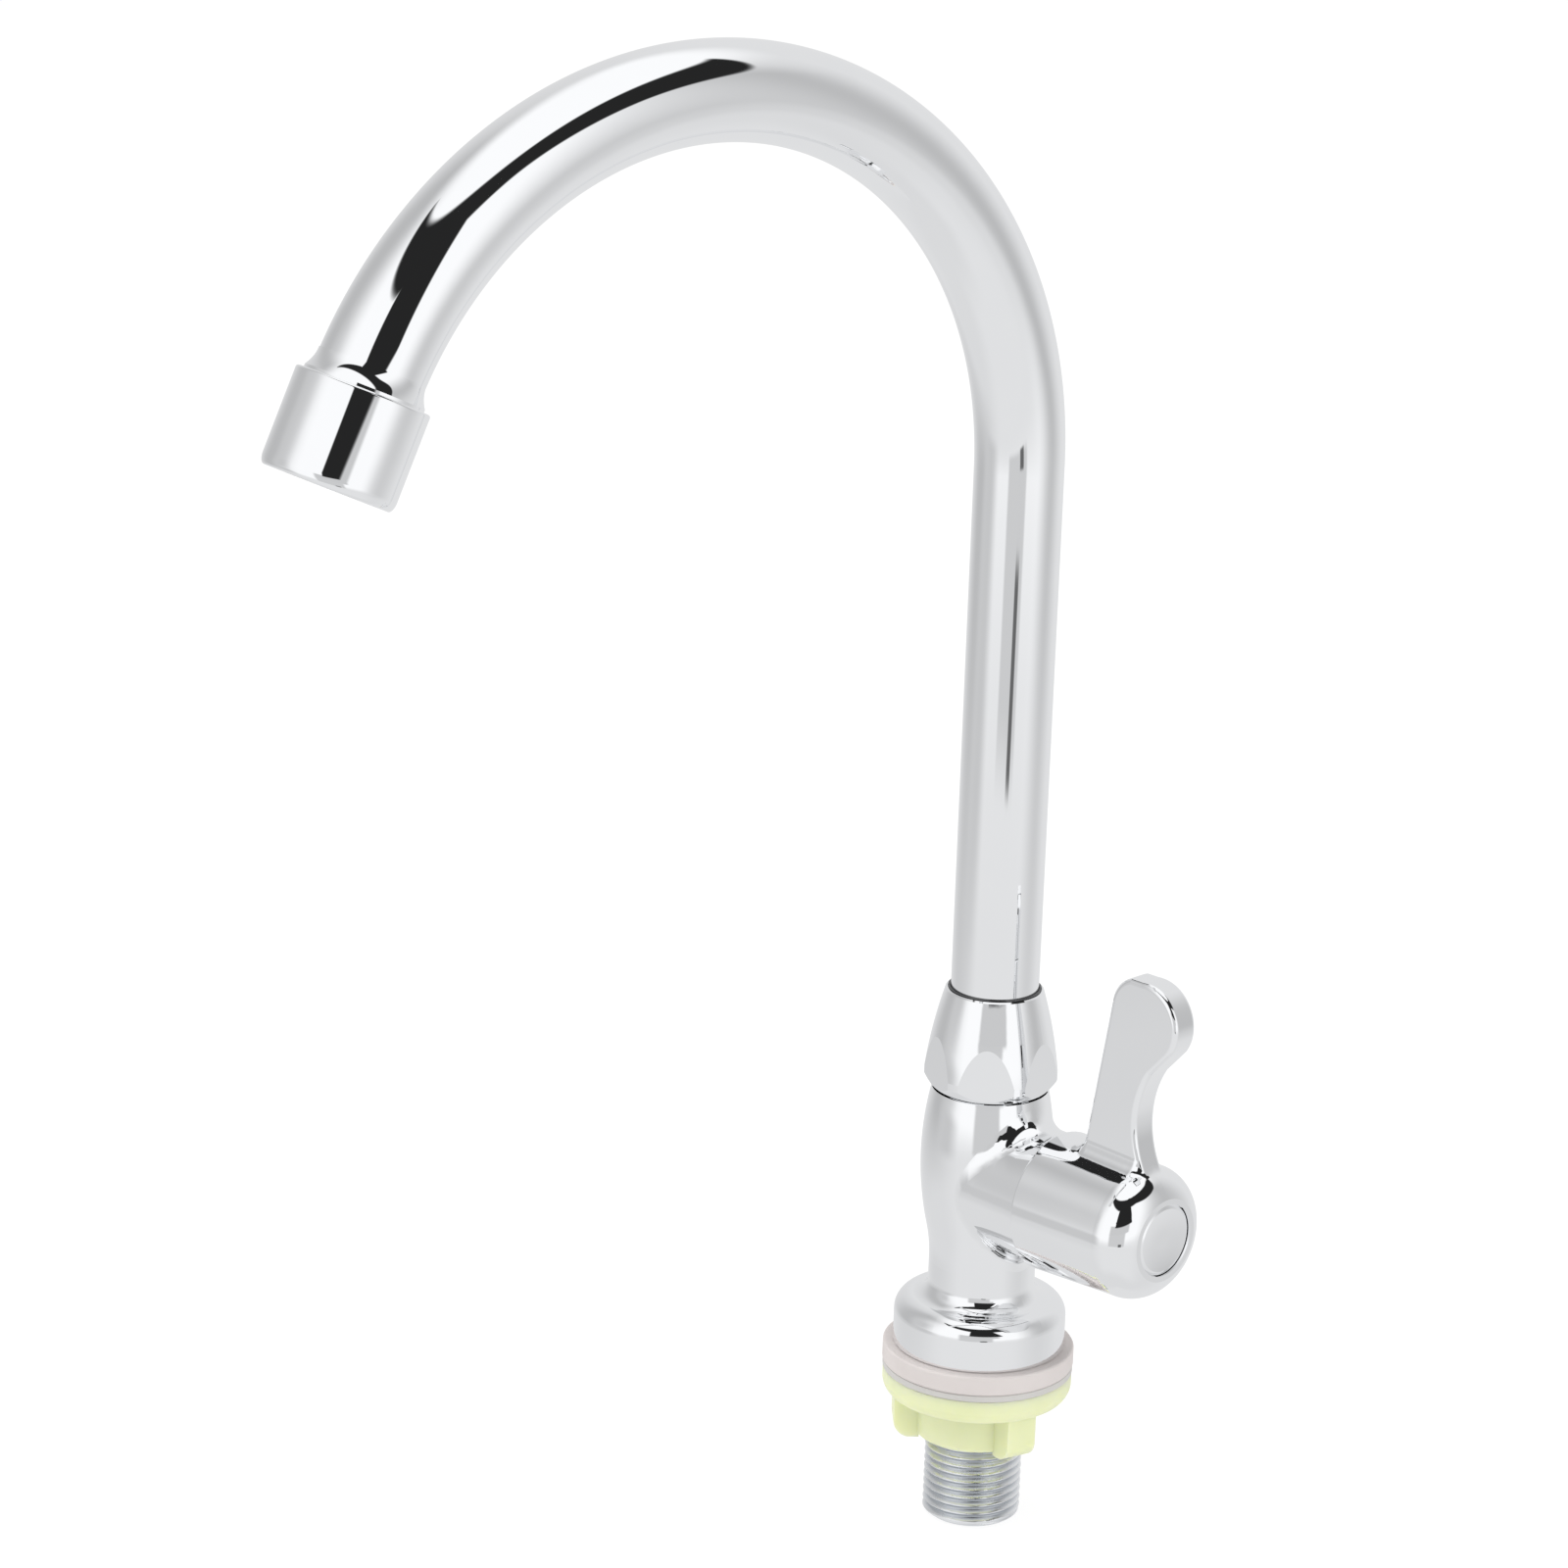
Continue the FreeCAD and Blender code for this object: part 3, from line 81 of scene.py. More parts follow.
# Collar and aerator sleeve, by distance along the flow from the collar's thin upper edge.
COLLAR_COVER = 4.4
COLLAR_TOP_RADIUS = 10.6
COLLAR_EDGE = 0.03
COLLAR_FLARE = 4.0
COLLAR_RADIUS = 11.9
COLLAR_LENGTH = 11.6
COLLAR_LIP_RADIUS = 9.2
COLLAR_SOCKET_START = 2.0
COLLAR_SOCKET_PLAY = 0.1
COLLAR_SOCKET_END_PLAY = 0.05
SLEEVE_RADIUS = 13.3
SLEEVE_START = 4.6
SLEEVE_END = 24.1
SLEEVE_TOP_ROUND = 0.5
SLEEVE_END_ROUND = 2.2
SLEEVE_END_DEPTH = 1.0
SLEEVE_THREAD_RADIUS = 12.0
SLEEVE_THREAD_END = 12.9
SLEEVE_BORE_RADIUS = 11.6
SLEEVE_LIP_RADIUS = 9.9
SLEEVE_FLOOR = 22.7
SLEEVE_RING_BY_ROUND = 0.1

# Light round the tap, and the floor just under the tail's end.
WORLD_STRENGTH = 0.72
FLOOR_HALF_WIDTH = 6.0
FLOOR_GAP = 0.2
FLOOR_COLOUR = (0.93, 0.93, 0.93, 1.0)
FLOOR_GLOW = 1.08
FLOOR_GLOW_SHARE = 0.8
WHITE = (1.0, 1.0, 1.0, 1.0)
LAMP_TARGET = (0.0, -0.04, 0.12)

# Lamps: name, place, side and watts.
LAMPS = (
    ("top_lamp", (0.1, -0.3, 1.5), 1.2, 9.0),
    ("left_lamp", (-1.2, -0.9, 0.8), 0.9, 7.0),
    ("right_lamp", (1.2, -0.1, 0.6), 0.9, 4.0),
)

# The studio is a tent round the tap that only its reflections show. Angles are in degrees as
# seen from the middle of the tent, azimuth from +X towards +Y and elevation from the level.
TENT_MIDDLE = (0.0, -0.05, 0.12)
TENT_RADIUS = 1.4
TENT_CLOTH = (0.985, 0.99, 1.0, 1.0)
TENT_WHITE = 0.99
TENT_DARK = 0.165

# Soft patches on the tent: name, azimuth of the middle, half width, softness of the sides,
# elevation of the lower and upper edge, their softness, and how bright it looks.
TENT_PATCHES = (
    ("ground", 0, 360, 1, -120, -16, 10, 0.852),
    ("ground in front", -50, 65, 25, -62, -16, 10, 0.88),
    ("back wall", 112, 54, 24, -140, 54, 8, 0.87),
    ("left corner", -162, 34, 32, -22, 60, 11, 0.72),
    ("fold by the left corner", -133, 13, 11, -6, 26, 12, 0.77),
    ("foot of that fold", -128, 16, 14, -20, -8, 2.5, 0.77),
    ("right corner", 44, 22, 22, -20, 48, 14, 0.73),
    ("card under the opening", -50, 23, 3, -17, 2, 1, 0.79),
    ("sill of the opening", -46, 27, 3, 1, 15, 1, 0.78),
    ("thing on the card", -39.5, 4.5, 1.5, -17.4, -13.6, 0.4, 0.40),
)

# The dark gap between the ceiling and the walls' top. The top sags and rises on its way round:
# from azimuth, to azimuth, by so many degrees.
CEILING = 60.0
WALL_TOP = 60.0
SAG_TO_FRONT = (-132.0, -62.0, 19.0)
SAG_TO_RIGHT = (-10.0, 20.0, 6.0)
RISE_TO_BACK = (22.0, 98.0, 31.0)
GAP_HALF_WIDTH = 132.0
GAP_SIDE_SOFTNESS = 1.0
GAP_SOFTNESS = 1.4

# The camera's opening. Its right side leans, and stands at OPENING_RIGHT at the elevation of
# OPENING_LEAN_FROM.
OPENING_LEFT = -59.0
OPENING_RIGHT = -13.0
OPENING_RIGHT_LEAN = 0.3
OPENING_LEAN_FROM = 10.0
OPENING_LOW = 12.4
OPENING_SOFTNESS = 1.2

# What looks x bright on screen glows with x to this power, and chrome gives back this share.
SCREEN_POWER = 2.2
CHROME_SHARE = 0.95

# Most values of a noise lie between these, and the fine bumps of a skin are this high in metres.
NOISE_LOW = 0.3
NOISE_HIGH = 0.7
SKIN_HEIGHT = 0.0002


def make_camera():
    """The photo's view: 17.4 degrees above the deck and 44.1 degrees round from the front."""
    rise = math.radians(17.4)
    round_from_front = math.radians(44.1)
    roll = math.radians(1.98)
    distance = 1200.0
    shift_right = -41.7
    shift_up = 119.3
    focal_pixels = 5705.0
    frame_pixels = 1600.0
    back = Vector((
        math.sin(round_from_front) * math.cos(rise),
        -math.cos(round_from_front) * math.cos(rise),
        math.sin(rise),
    ))
    level = Vector((math.cos(round_from_front), math.sin(round_from_front), 0.0))
    upright = back.cross(level)
    right = level * math.cos(roll) + upright * math.sin(roll)
    up = upright * math.cos(roll) - level * math.sin(roll)
    data = bpy.data.cameras.new("camera")
    data.sensor_width = 36.0
    data.lens = focal_pixels / frame_pixels * data.sensor_width
    data.clip_start = 0.05
    data.clip_end = 30.0
    camera = bpy.data.objects.new("camera", data)
    turn = Matrix((right, up, back)).transposed().to_4x4()
    place = (right * shift_right + up * shift_up + back * distance) * MM
    camera.matrix_world = Matrix.Translation(place) @ turn
    bpy.context.scene.collection.objects.link(camera)
    bpy.context.scene.camera = camera


class Nodes:
    """Short calls for building a node tree."""

    def __init__(self, tree):
        self.tree = tree
        tree.nodes.clear()

    def add(self, kind, **settings):
        node = self.tree.nodes.new(kind)
        for name, setting in settings.items():
            setattr(node, name, setting)
        return node

    def link(self, source, target):
        self.tree.links.new(source, target)

    def feed(self, socket, source):
        """Give a socket a number or another node's output."""
        if isinstance(source, (int, float)):
            socket.default_value = source
        else:
            self.link(source, socket)

    def math(self, operation, first, second=0.0):
        node = self.add("ShaderNodeMath", operation=operation)
        self.feed(node.inputs[0], first)
        self.feed(node.inputs[1], second)
        return node.outputs[0]

    def ramp(self, source, low, high, to_low=0.0, to_high=1.0, smooth=True):
        """Map low..high of the source to another range, held at both ends."""
        kind = "SMOOTHSTEP" if smooth else "LINEAR"
        node = self.add("ShaderNodeMapRange", interpolation_type=kind)
        self.feed(node.inputs["Value"], source)
        node.inputs["From Min"].default_value = low
        node.inputs["From Max"].default_value = high
        node.inputs["To Min"].default_value = to_low
        node.inputs["To Max"].default_value = to_high
        return node.outputs["Result"]

    def rise(self, source, edge, soft):
        """0 below the edge and 1 above it."""
        return self.ramp(source, edge - soft, edge + soft)

    def fall(self, source, edge, soft):
        """1 below the edge and 0 above it."""
        return self.ramp(source, edge - soft, edge + soft, 1.0, 0.0)

    def noise(self, scale, detail, roughness, vector):
        node = self.add("ShaderNodeTexNoise")
        node.inputs["Scale"].default_value = scale
        node.inputs["Detail"].default_value = detail
        node.inputs["Roughness"].default_value = roughness
        self.link(vector, node.inputs["Vector"])
        return node.outputs["Fac"]

    def place(self):
        """Position on the object itself, in metres."""
        return self.add("ShaderNodeTexCoord").outputs["Object"]

    def split(self, vector):
        """The three parts of a vector."""
        node = self.add("ShaderNodeSeparateXYZ")
        self.link(vector, node.inputs[0])
        return node.outputs

    def mix(self, share, first, second):
        """Shader between two others."""
        node = self.add("ShaderNodeMixShader")
        self.link(share, node.inputs[0])
        self.link(first, node.inputs[1])
        self.link(second, node.inputs[2])
        return node.outputs[0]


def shade(make, bright, level, inside):
    """Move a brightness towards a level where inside is 1."""
    step = make.math("MULTIPLY", make.math("SUBTRACT", level, bright), inside)
    return make.math("ADD", bright, step)


def tent_angles(make):
    """Azimuth and elevation of a point of the tent."""
    unit = make.add("ShaderNodeVectorMath", operation="NORMALIZE")
    make.link(make.place(), unit.inputs[0])
    x, y, z = make.split(unit.outputs[0])
    azimuth = make.math("DEGREES", make.math("ARCTAN2", y, x))
    elevation = make.math("DEGREES", make.math("ARCSINE", z))
    return azimuth, elevation


def patch_inside(make, azimuth, elevation, patch):
    """1 on a patch of the tent, 0 round it."""
    _, middle, half, side_soft, low, high, soft, _ = patch
    turn = make.add("ShaderNodeMath", operation="WRAP")
    make.link(make.math("SUBTRACT", azimuth, middle), turn.inputs[0])
    turn.inputs[1].default_value = 180.0
    turn.inputs[2].default_value = -180.0
    off = make.math("ABSOLUTE", turn.outputs[0])
    across = make.fall(off, half, side_soft)
    upward = make.math("MULTIPLY", make.rise(elevation, low, soft),
                       make.fall(elevation, high, soft))
    return make.math("MULTIPLY", across, upward)


def ceiling_gap(make, azimuth, elevation):
    """1 above the walls' top, on all sides but the left."""
    start, end, degrees = SAG_TO_FRONT
    sag = make.ramp(azimuth, start, end, 0.0, degrees, smooth=False)
    start, end, degrees = SAG_TO_RIGHT
    sag = make.math("ADD", sag, make.ramp(azimuth, start, end, 0.0, degrees))
    start, end, degrees = RISE_TO_BACK
    sag = make.math("SUBTRACT", sag, make.ramp(azimuth, start, end, 0.0, degrees))
    above_wall = make.math("ADD", make.math("SUBTRACT", elevation, WALL_TOP), sag)
    near = make.fall(make.math("ABSOLUTE", azimuth), GAP_HALF_WIDTH, GAP_SIDE_SOFTNESS)
    return make.math("MULTIPLY", make.rise(above_wall, 0.0, GAP_SOFTNESS), near)


def camera_opening(make, azimuth, elevation):
    """1 in the opening that the camera looks through."""
    left = make.rise(azimuth, OPENING_LEFT, OPENING_SOFTNESS)
    leaning = make.math("ADD", azimuth, make.math("MULTIPLY", elevation, OPENING_RIGHT_LEAN))
    right_edge = OPENING_RIGHT + OPENING_LEAN_FROM * OPENING_RIGHT_LEAN
    right = make.fall(leaning, right_edge, OPENING_SOFTNESS)
    low = make.rise(elevation, OPENING_LOW, OPENING_SOFTNESS)
    return make.math("MULTIPLY", make.math("MULTIPLY", left, right), low)


def tent_brightness(make):
    """How bright the tent looks, as a share of white."""
    azimuth, elevation = tent_angles(make)
    bright = TENT_WHITE
    for patch in TENT_PATCHES:
        bright = shade(make, bright, patch[-1], patch_inside(make, azimuth, elevation, patch))
    dark = make.math("MAXIMUM", ceiling_gap(make, azimuth, elevation),
                     camera_opening(make, azimuth, elevation))
    dark = make.math("MULTIPLY", dark, make.fall(elevation, CEILING, GAP_SOFTNESS))
    return shade(make, bright, TENT_DARK, dark)


def tent_cloth():
    """Cloth that glows as bright as it has to look in the chrome."""
    material = bpy.data.materials.new("tent_cloth")
    material.use_nodes = True
    material.cycles.emission_sampling = "NONE"
    make = Nodes(material.node_tree)
    glow = make.add("ShaderNodeEmission")
    glow.inputs["Color"].default_value = TENT_CLOTH
    light = make.math("POWER", tent_brightness(make), SCREEN_POWER)
    make.link(make.math("DIVIDE", light, CHROME_SHARE), glow.inputs["Strength"])
    output = make.add("ShaderNodeOutputMaterial")
    make.link(glow.outputs[0], output.inputs["Surface"])
    return material


def make_tent():
    """Tent of white cloth with grey corners, a dark opening and a dark gap under its ceiling."""
    mesh = bpy.data.meshes.new("tent")
    shell = bmesh.new()
    bmesh.ops.create_uvsphere(shell, u_segments=96, v_segments=48, radius=TENT_RADIUS)
    shell.to_mesh(mesh)
    shell.free()
    mesh.materials.append(tent_cloth())
    tent = bpy.data.objects.new("tent", mesh)
    tent.location = TENT_MIDDLE
    bpy.context.scene.collection.objects.link(tent)
    tent.visible_camera = False
    tent.visible_diffuse = False
    tent.visible_transmission = False
    tent.visible_volume_scatter = False
    tent.visible_shadow = False


def seen_as_background(make):
    """1 for the rays that see the background itself, in the picture or in metal and glass."""
    rays = make.add("ShaderNodeLightPath").outputs
    seen = make.math("MAXIMUM", rays["Is Camera Ray"], rays["Is Glossy Ray"])
    return make.math("MAXIMUM", seen, rays["Is Transmission Ray"])


def make_world():
    """White behind the tap and even light all round it."""
    world = bpy.data.worlds.new("white_world")
    world.use_nodes = True
    bpy.context.scene.world = world
    make = Nodes(world.node_tree)
    even = make.add("ShaderNodeBackground")
    even.inputs["Color"].default_value = WHITE
    even.inputs["Strength"].default_value = WORLD_STRENGTH
    white = make.add("ShaderNodeBackground")
    white.inputs["Color"].default_value = WHITE
    white.inputs["Strength"].default_value = 1.0
    whole = make.mix(seen_as_background(make), even.outputs[0], white.outputs[0])
    output = make.add("ShaderNodeOutputWorld")
    make.link(whole, output.inputs["Surface"])


def floor_paint():
    """Pale paint that looks white in the picture and still shows a light shadow."""
    material = bpy.data.materials.new("pale_floor")
    material.use_nodes = True
    make = Nodes(material.node_tree)
    paint = make.add("ShaderNodeBsdfDiffuse")
    paint.inputs["Color"].default_value = FLOOR_COLOUR
    glow = make.add("ShaderNodeEmission")
    glow.inputs["Color"].default_value = WHITE
    glow.inputs["Strength"].default_value = FLOOR_GLOW
    share = make.math("MULTIPLY", seen_as_background(make), FLOOR_GLOW_SHARE)
    whole = make.mix(share, paint.outputs[0], glow.outputs[0])
    output = make.add("ShaderNodeOutputMaterial")
    make.link(whole, output.inputs["Surface"])
    return material


def make_floor():
    """Floor just under the tail's end."""
    mesh = bpy.data.meshes.new("floor")
    half = FLOOR_HALF_WIDTH
    low = -(SHANK_LENGTH + FLOOR_GAP) * MM
    corners = [(-half, -half, low), (half, -half, low), (half, half, low), (-half, half, low)]
    mesh.from_pydata(corners, [], [(0, 1, 2, 3)])
    mesh.materials.append(floor_paint())
    floor = bpy.data.objects.new("floor", mesh)
    bpy.context.scene.collection.objects.link(floor)
    floor.visible_glossy = False


def add_lamp(name, place, size, watts):
    """Soft square lamp that faces the tap and leaves no reflection of its own."""
    data = bpy.data.lights.new(name, "AREA")
    data.shape = "SQUARE"
    data.size = size
    data.energy = watts
    lamp = bpy.data.objects.new(name, data)
    lamp.location = place
    facing = Vector(LAMP_TARGET) - Vector(place)
    lamp.rotation_euler = facing.to_track_quat("-Z", "Y").to_euler()
    lamp.visible_glossy = False
    bpy.context.scene.collection.objects.link(lamp)


def new_material(name):
    """Material with one plain shader, and what is needed to build on it."""
    material = bpy.data.materials.new(name)
    material.use_nodes = True
    make = Nodes(material.node_tree)
    shader = make.add("ShaderNodeBsdfPrincipled")
    output = make.add("ShaderNodeOutputMaterial")
    make.link(shader.outputs[0], output.inputs["Surface"])
    return material, make, shader


def tint(make, shader, fac, dark, light):
    """Vary the colour between two shades."""
    mix = make.add("ShaderNodeMix", data_type="RGBA")
    make.link(fac, mix.inputs["Factor"])
    mix.inputs["A"].default_value = (*dark, 1.0)
    mix.inputs["B"].default_value = (*light, 1.0)
    make.link(mix.outputs["Result"], shader.inputs["Base Color"])


def roughen(make, shader, cloud, least, most):
    """Let the roughness follow a noise."""
    rough = make.ramp(cloud, NOISE_LOW, NOISE_HIGH, least, most)
    make.link(rough, shader.inputs["Roughness"])


def bump(make, shader, height, strength):
    """Raise a fine skin from a noise."""
    node = make.add("ShaderNodeBump")
    node.inputs["Strength"].default_value = strength
    node.inputs["Distance"].default_value = SKIN_HEIGHT
    make.link(height, node.inputs["Height"])
    make.link(node.outputs["Normal"], shader.inputs["Normal"])


def chrome():
    """Mirror plate with faint wipe marks in its gloss."""
    material, make, shader = new_material("chrome_plate")
    shader.inputs["Metallic"].default_value = 1.0
    wipes = make.noise(45.0, 3.0, 0.55, make.place())
    tint(make, shader, wipes, (0.93, 0.935, 0.945), (0.965, 0.97, 0.975))
    gloss = make.ramp(wipes, 0.35, 0.75, 0.01, 0.045)
    make.link(gloss, shader.inputs["Roughness"])
    return material


def plain_metal(name, dark, light, least_rough, most_rough):
    """Bare turned metal with fine marks left by the tool."""
    material, make, shader = new_material(name)
    place = make.place()
    shader.inputs["Metallic"].default_value = 1.0
    cloud = make.noise(160.0, 4.0, 0.6, place)
    tint(make, shader, cloud, dark, light)
    roughen(make, shader, cloud, least_rough, most_rough)
    tool_marks = make.noise(900.0, 3.0, 0.6, place)
    bump(make, shader, tool_marks, 0.12)
    return material


def threaded_metal():
    """Plain grey metal with painted shade down in the thread's roots, which makes them look
    duller and darker.
    """
    # the painted shade of the roots fades out this far under the crest, in millimetres
    crest_band_without_painted_shade = 0.12
    end_face_from = 0.5
    end_face_to = 0.1
    material, make, shader = new_material("grey_threaded_metal")
    shader.inputs["Metallic"].default_value = 1.0
    place = make.place()
    x, y, z = make.split(place)
    squares = make.math("ADD", make.math("MULTIPLY", x, x), make.math("MULTIPLY", y, y))
    radius = make.math("SQRT", squares)
    root = (SHANK_RADIUS - THREAD_DEPTH) * MM
    crest = (SHANK_RADIUS - crest_band_without_painted_shade) * MM
    # Painted shade: 0 down in the thread's roots, rising to 1 towards the crests.
    free_of_painted_shade = make.ramp(radius, root, crest, smooth=False)
    end_face = make.ramp(z, (end_face_from - SHANK_LENGTH) * MM,
                         (end_face_to - SHANK_LENGTH) * MM)
    # the end face and its chamfer get no painted shade
    free_of_painted_shade = make.math("MAXIMUM", free_of_painted_shade, end_face)
    cloud = make.noise(200.0, 3.0, 0.5, place)
    stained = make.ramp(cloud, NOISE_LOW, NOISE_HIGH, 0.9, 1.0)
    # painted shade of the roots together with real stains from the noise
    unshaded_and_unstained = make.math("MULTIPLY", free_of_painted_shade, stained)
    tint(make, shader, unshaded_and_unstained, (0.57, 0.60, 0.635), (0.97, 0.98, 0.99))
    roughen(make, shader, cloud, 0.24, 0.32)
    return material


def mould(make, shader, dark, light, rough, grain, strength):
    """Uneven colour and gloss and a fine skin, as on moulded plastic or rubber."""
    spread = 0.06
    place = make.place()
    cloud = make.noise(70.0, 4.0, 0.6, place)
    tint(make, shader, cloud, dark, light)
    roughen(make, shader, cloud, rough - spread, rough + spread)
    bump(make, shader, make.noise(grain, 3.0, 0.55, place), strength)


def moulded(name, dark, light, rough, grain=700.0, strength=0.1):
    """Moulded plastic, rubber or ceramic."""
    material, make, shader = new_material(name)
    mould(make, shader, dark, light, rough, grain, strength)
    return material


def milky_plastic():
    """Pale yellow-green polyethylene: light goes a little way into it."""
    material, make, shader = new_material("milky_green_plastic")
    mould(make, shader, (0.72, 0.77, 0.45), (0.82, 0.84, 0.57), 0.42, 500.0, 0.05)
    shader.inputs["Subsurface Weight"].default_value = 0.6
    shader.inputs["Subsurface Radius"].default_value = (1.0, 0.9, 0.45)
    shader.inputs["Subsurface Scale"].default_value = 0.004
    return material


def make_materials():
    """One material for each slot of the record."""
    return {
        "chromed_brass": chrome(),
        "plain_brass": plain_metal("turned_brass", (0.72, 0.55, 0.28), (0.84, 0.68, 0.38),
                                   0.22, 0.36),
        "plain_grey_metal": threaded_metal(),
        "stainless_steel": plain_metal("stainless_steel", (0.60, 0.60, 0.60),
                                       (0.75, 0.75, 0.74), 0.20, 0.34),
        "pink_grey_rubber": moulded("pinkish_rubber", (0.62, 0.57, 0.555), (0.71, 0.665, 0.65),
                                    0.60, 420.0, 0.20),
        "black_rubber": moulded("black_rubber", (0.015, 0.015, 0.016), (0.035, 0.035, 0.036),
                                0.55, 500.0, 0.15),
        "pale_grey_plastic": moulded("pale_grey_plastic", (0.53, 0.517, 0.50),
                                     (0.63, 0.613, 0.59), 0.45),
        "pale_yellow_green_plastic": milky_plastic(),
        "black_plastic": moulded("black_plastic", (0.012, 0.012, 0.014), (0.03, 0.03, 0.032),
                                 0.28, 600.0, 0.05),
        "white_plastic": moulded("white_plastic", (0.80, 0.80, 0.78), (0.88, 0.88, 0.87), 0.40),
        "white_ceramic": moulded("white_ceramic", (0.86, 0.85, 0.81), (0.93, 0.92, 0.89),
                                 0.18, 900.0, 0.03),
    }


def dress_nodes(materials):
    """Give every solid its slot's material."""
    slot_of = {part["node"]: part["material_slot"] for part in frame["record"]["subparts"]}
    for name, node in nodes.items():
        node.data.materials.clear()
        node.data.materials.append(materials[slot_of[name]])


def new_piece(name, mesh, material, body, replaced):
    """Add a mesh as a piece that rides on a body and stands for a solid."""
    mesh.materials.append(material)
    piece = bpy.data.objects.new(name, mesh)
    bpy.context.scene.collection.objects.link(piece)
    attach(piece, body)
    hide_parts(replaced)


def ring_mesh(name, rings, sharp):
    """Skin a list of rings of points, the last joined to the first; sharp is in degrees."""
    mesh = bpy.data.meshes.new(name)
    count = len(rings[0])
    points = [point for ring in rings for point in ring]
    faces = []
    for i in range(len(rings)):
        here = i * count
        there = (i + 1) % len(rings) * count
        for j in range(count):
            after = (j + 1) % count
            faces.append((here + j, here + after, there + after, there + j))
    mesh.from_pydata(points, [], faces)
    shell = bmesh.new()
    shell.from_mesh(mesh)
    bmesh.ops.recalc_face_normals(shell, faces=shell.faces)
    shell.to_mesh(mesh)
    shell.free()
    mesh.shade_smooth()
    mesh.set_sharp_from_angle(angle=math.radians(sharp))
    return mesh


def thread_dip(height, angle):
    """How far the thread's flank lies under its crest, as a share of the thread's depth."""
    turns = (height + SHANK_LENGTH) / THREAD_PITCH - angle / (2 * math.pi)
    wave = 0.5 - 0.5 * math.cos(2 * math.pi * turns)
    return wave ** THREAD_FLANK


def threaded_radius(height, angle):
    """Radius of the tail, with its thread fading at both ends and a chamfer at the free end."""
    lead_in = min(1.0, max(0.0, (height - THREAD_FREE_FROM) / THREAD_LEAD_IN))
    run_out = min(1.0, max(0.0, (THREAD_FREE_TO - height) / THREAD_RUN_OUT))
    dip = THREAD_DEPTH * thread_dip(height, angle) * lead_in * run_out
    chamfer = SHANK_CHAMFER * max(0.0, 1.0 - (height + SHANK_LENGTH) / SHANK_CHAMFER_HEIGHT)
    return SHANK_RADIUS - max(dip, chamfer)


def make_threaded_tail(material):
    """Tail with its real thread, which runs out at both ends."""
    low = -SHANK_LENGTH
    step = THREAD_PITCH / THREAD_ROWS_IN_A_TURN
    heights = [low + step * i for i in range(1, int(SHANK_LENGTH / step))] + [0.0]
    angles = [2 * math.pi * j / THREAD_AROUND for j in range(THREAD_AROUND)]

    def ring(height, radii):
        return [(r * MM * math.cos(a), r * MM * math.sin(a), height * MM)
                for r, a in zip(radii, angles)]

    def round_ring(height, radius):
        return ring(height, [radius] * THREAD_AROUND)

    rings = [round_ring(low, SHANK_BORE), round_ring(low, SHANK_RADIUS - SHANK_CHAMFER)]
    for height in heights:
        rings.append(ring(height, [threaded_radius(height, angle) for angle in angles]))
    rings.append(round_ring(0.0, SPIGOT_RADIUS))
    rings.append(round_ring(SPIGOT_LENGTH, SPIGOT_RADIUS))
    rings.append(round_ring(SPIGOT_LENGTH, SHANK_BORE))
    mesh = ring_mesh("threaded_tail", rings, sharp=50.0)
    new_piece("threaded_tail", mesh, material, "fixed_body",
              "threaded_shank")


def spout_station(turned, beyond=0.0):
    """Point and direction of the spout's centre line, so far turned into its bend."""
    away = Vector((math.cos(SPOUT_YAW), math.sin(SPOUT_YAW), 0.0))
    up = Vector((0.0, 0.0, 1.0))
    reach = BEND_RADIUS * (1.0 - math.cos(turned))
    height = BEND_START + BEND_RADIUS * math.sin(turned)
    direction = away * math.sin(turned) + up * math.cos(turned)
    return away * reach + up * height + direction * beyond, direction


def spout_ring(station, radius):
    """Ring of points round the spout's centre line."""
    centre, direction = station
    level = Vector((-math.sin(SPOUT_YAW), math.cos(SPOUT_YAW), 0.0))
    outward = level.cross(direction)
    ring = []
    for j in range(SPOUT_AROUND):
        angle = 2 * math.pi * j / SPOUT_AROUND
        point = centre + (outward * math.cos(angle) + level * math.sin(angle)) * radius
        ring.append(tuple(point * MM))
    return ring


def make_bent_tube(material):
    """Spout tube with an even skin, so that the long reflections along its bend stay smooth."""
    leg = TUBE_BOTTOM - BEND_START
    widening = (TUBE_END_RADIUS - TUBE_RADIUS) / (BEND_RADIUS * BEND_ANGLE + TUBE_TAIL)
    line = [(spout_station(0.0, leg), TUBE_RADIUS), (spout_station(0.0, leg / 2), TUBE_RADIUS)]
    for i in range(BEND_STEPS + 1):
        turned = BEND_ANGLE * i / BEND_STEPS
        line.append((spout_station(turned), TUBE_RADIUS + widening * BEND_RADIUS * turned))
    line.append((spout_station(BEND_ANGLE, TUBE_TAIL), TUBE_END_RADIUS))
    outside = [spout_ring(station, radius - TUBE_INSET) for station, radius in line]
    inside = [spout_ring(station, radius - TUBE_WALL) for station, radius in line]
    mesh = ring_mesh("bent_tube", outside + inside[::-1], sharp=35.0)
    new_piece("bent_tube", mesh, material, "spout", "spout_tube")


def turned_at_outlet(name, corners):
    """Turn a closed section of (radius, distance along the flow) about the outlet's axis."""
    rings = [spout_ring(spout_station(BEND_ANGLE, along - COLLAR_COVER), radius)
             for radius, along in corners]
    return ring_mesh(name, rings, sharp=20.0)


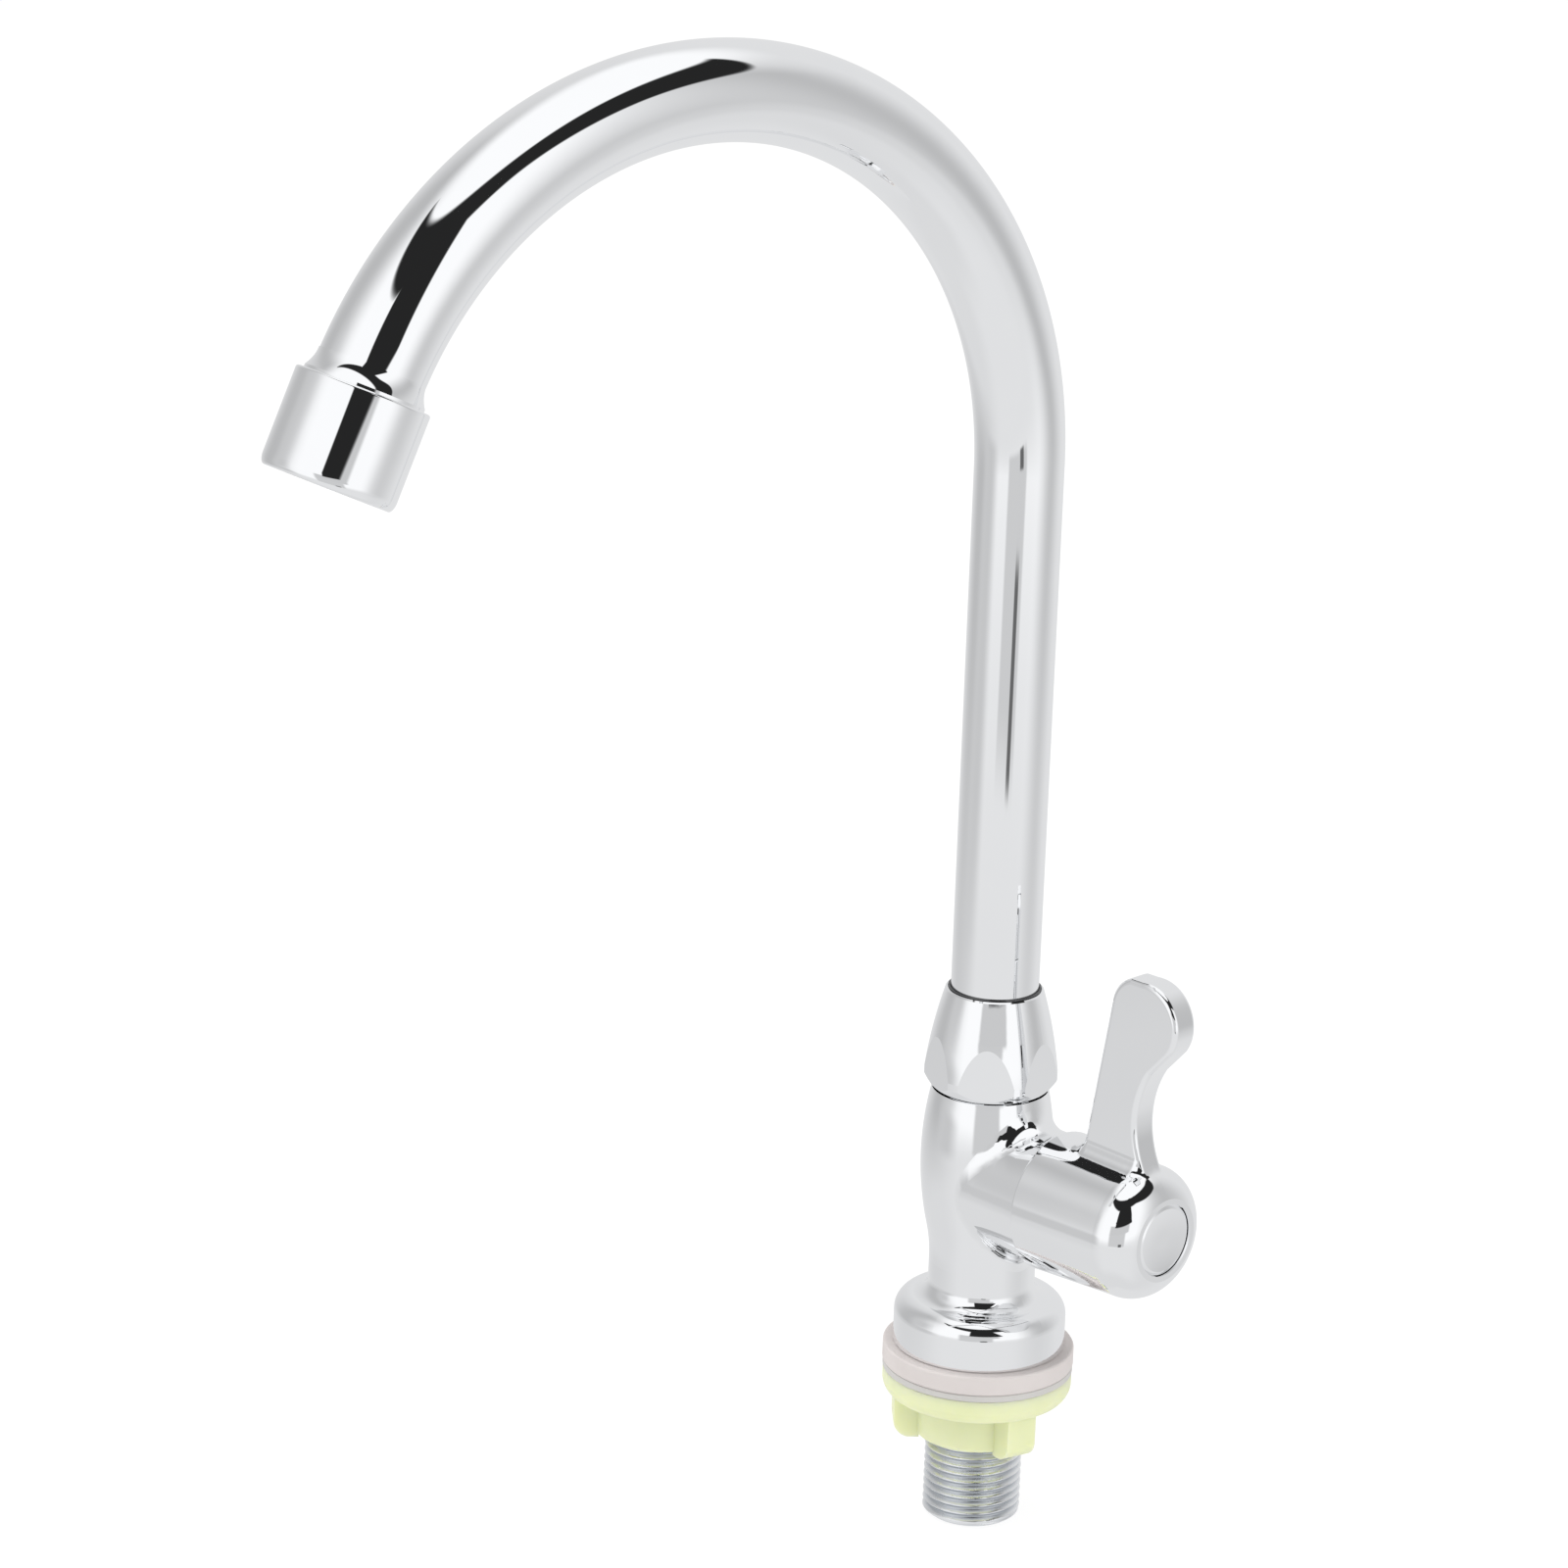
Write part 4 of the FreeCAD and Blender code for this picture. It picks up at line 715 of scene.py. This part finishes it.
def make_flared_collar(material):
    """Collar that flares out of the tube without a step, with the tube's end in its socket."""
    steps = 12
    corners = []
    for i in range(steps + 1):
        share = i / steps
        radius = COLLAR_TOP_RADIUS + (COLLAR_RADIUS - COLLAR_TOP_RADIUS) * share * share
        corners.append((radius, COLLAR_FLARE * share))
    socket_radius = TUBE_END_RADIUS + COLLAR_SOCKET_PLAY
    socket_end = COLLAR_COVER + TUBE_TAIL + COLLAR_SOCKET_END_PLAY
    corners.append((COLLAR_RADIUS, COLLAR_LENGTH))
    corners.append((COLLAR_LIP_RADIUS, COLLAR_LENGTH))
    corners.append((COLLAR_LIP_RADIUS, socket_end))
    corners.append((socket_radius, socket_end))
    corners.append((socket_radius, COLLAR_SOCKET_START))
    corners.append((COLLAR_TOP_RADIUS - COLLAR_EDGE, 0.0))
    mesh = turned_at_outlet("flared_collar", corners)
    new_piece("flared_collar", mesh, material, "spout", "spout_end_fitting")


def make_rounded_sleeve(material):
    """Aerator's sleeve with a well rounded free edge."""
    steps = 10
    angles = [math.pi / 2 * i / steps for i in range(steps + 1)]
    corners = [(SLEEVE_THREAD_RADIUS, SLEEVE_START)]
    for angle in angles:
        corners.append((SLEEVE_RADIUS - SLEEVE_TOP_ROUND * (1.0 - math.sin(angle)),
                        SLEEVE_START + SLEEVE_TOP_ROUND * (1.0 - math.cos(angle))))
    # a ring close to each round keeps the straight wall's reflections straight
    straight_from = SLEEVE_START + SLEEVE_TOP_ROUND + SLEEVE_RING_BY_ROUND
    straight_to = SLEEVE_END - SLEEVE_END_ROUND - SLEEVE_RING_BY_ROUND
    corners.append((SLEEVE_RADIUS, straight_from))
    corners.append((SLEEVE_RADIUS, straight_to))
    for angle in angles:
        corners.append((SLEEVE_RADIUS - SLEEVE_END_DEPTH * (1.0 - math.cos(angle)),
                        SLEEVE_END - SLEEVE_END_ROUND * (1.0 - math.sin(angle))))
    corners.append((SLEEVE_LIP_RADIUS, SLEEVE_END))
    corners.append((SLEEVE_LIP_RADIUS, SLEEVE_FLOOR))
    corners.append((SLEEVE_BORE_RADIUS, SLEEVE_FLOOR))
    corners.append((SLEEVE_BORE_RADIUS, SLEEVE_THREAD_END))
    corners.append((SLEEVE_THREAD_RADIUS, SLEEVE_THREAD_END))
    mesh = turned_at_outlet("rounded_sleeve", corners)
    new_piece("rounded_sleeve", mesh, material, "aerator_sleeve",
              "aerator_housing")


def main():
    bpy.context.scene.view_settings.view_transform = "Standard"
    make_camera()
    make_world()
    make_tent()
    make_floor()
    for lamp in LAMPS:
        add_lamp(*lamp)
    materials = make_materials()
    dress_nodes(materials)
    make_threaded_tail(materials["plain_grey_metal"])
    make_bent_tube(materials["chromed_brass"])
    make_flared_collar(materials["chromed_brass"])
    make_rounded_sleeve(materials["chromed_brass"])


main()
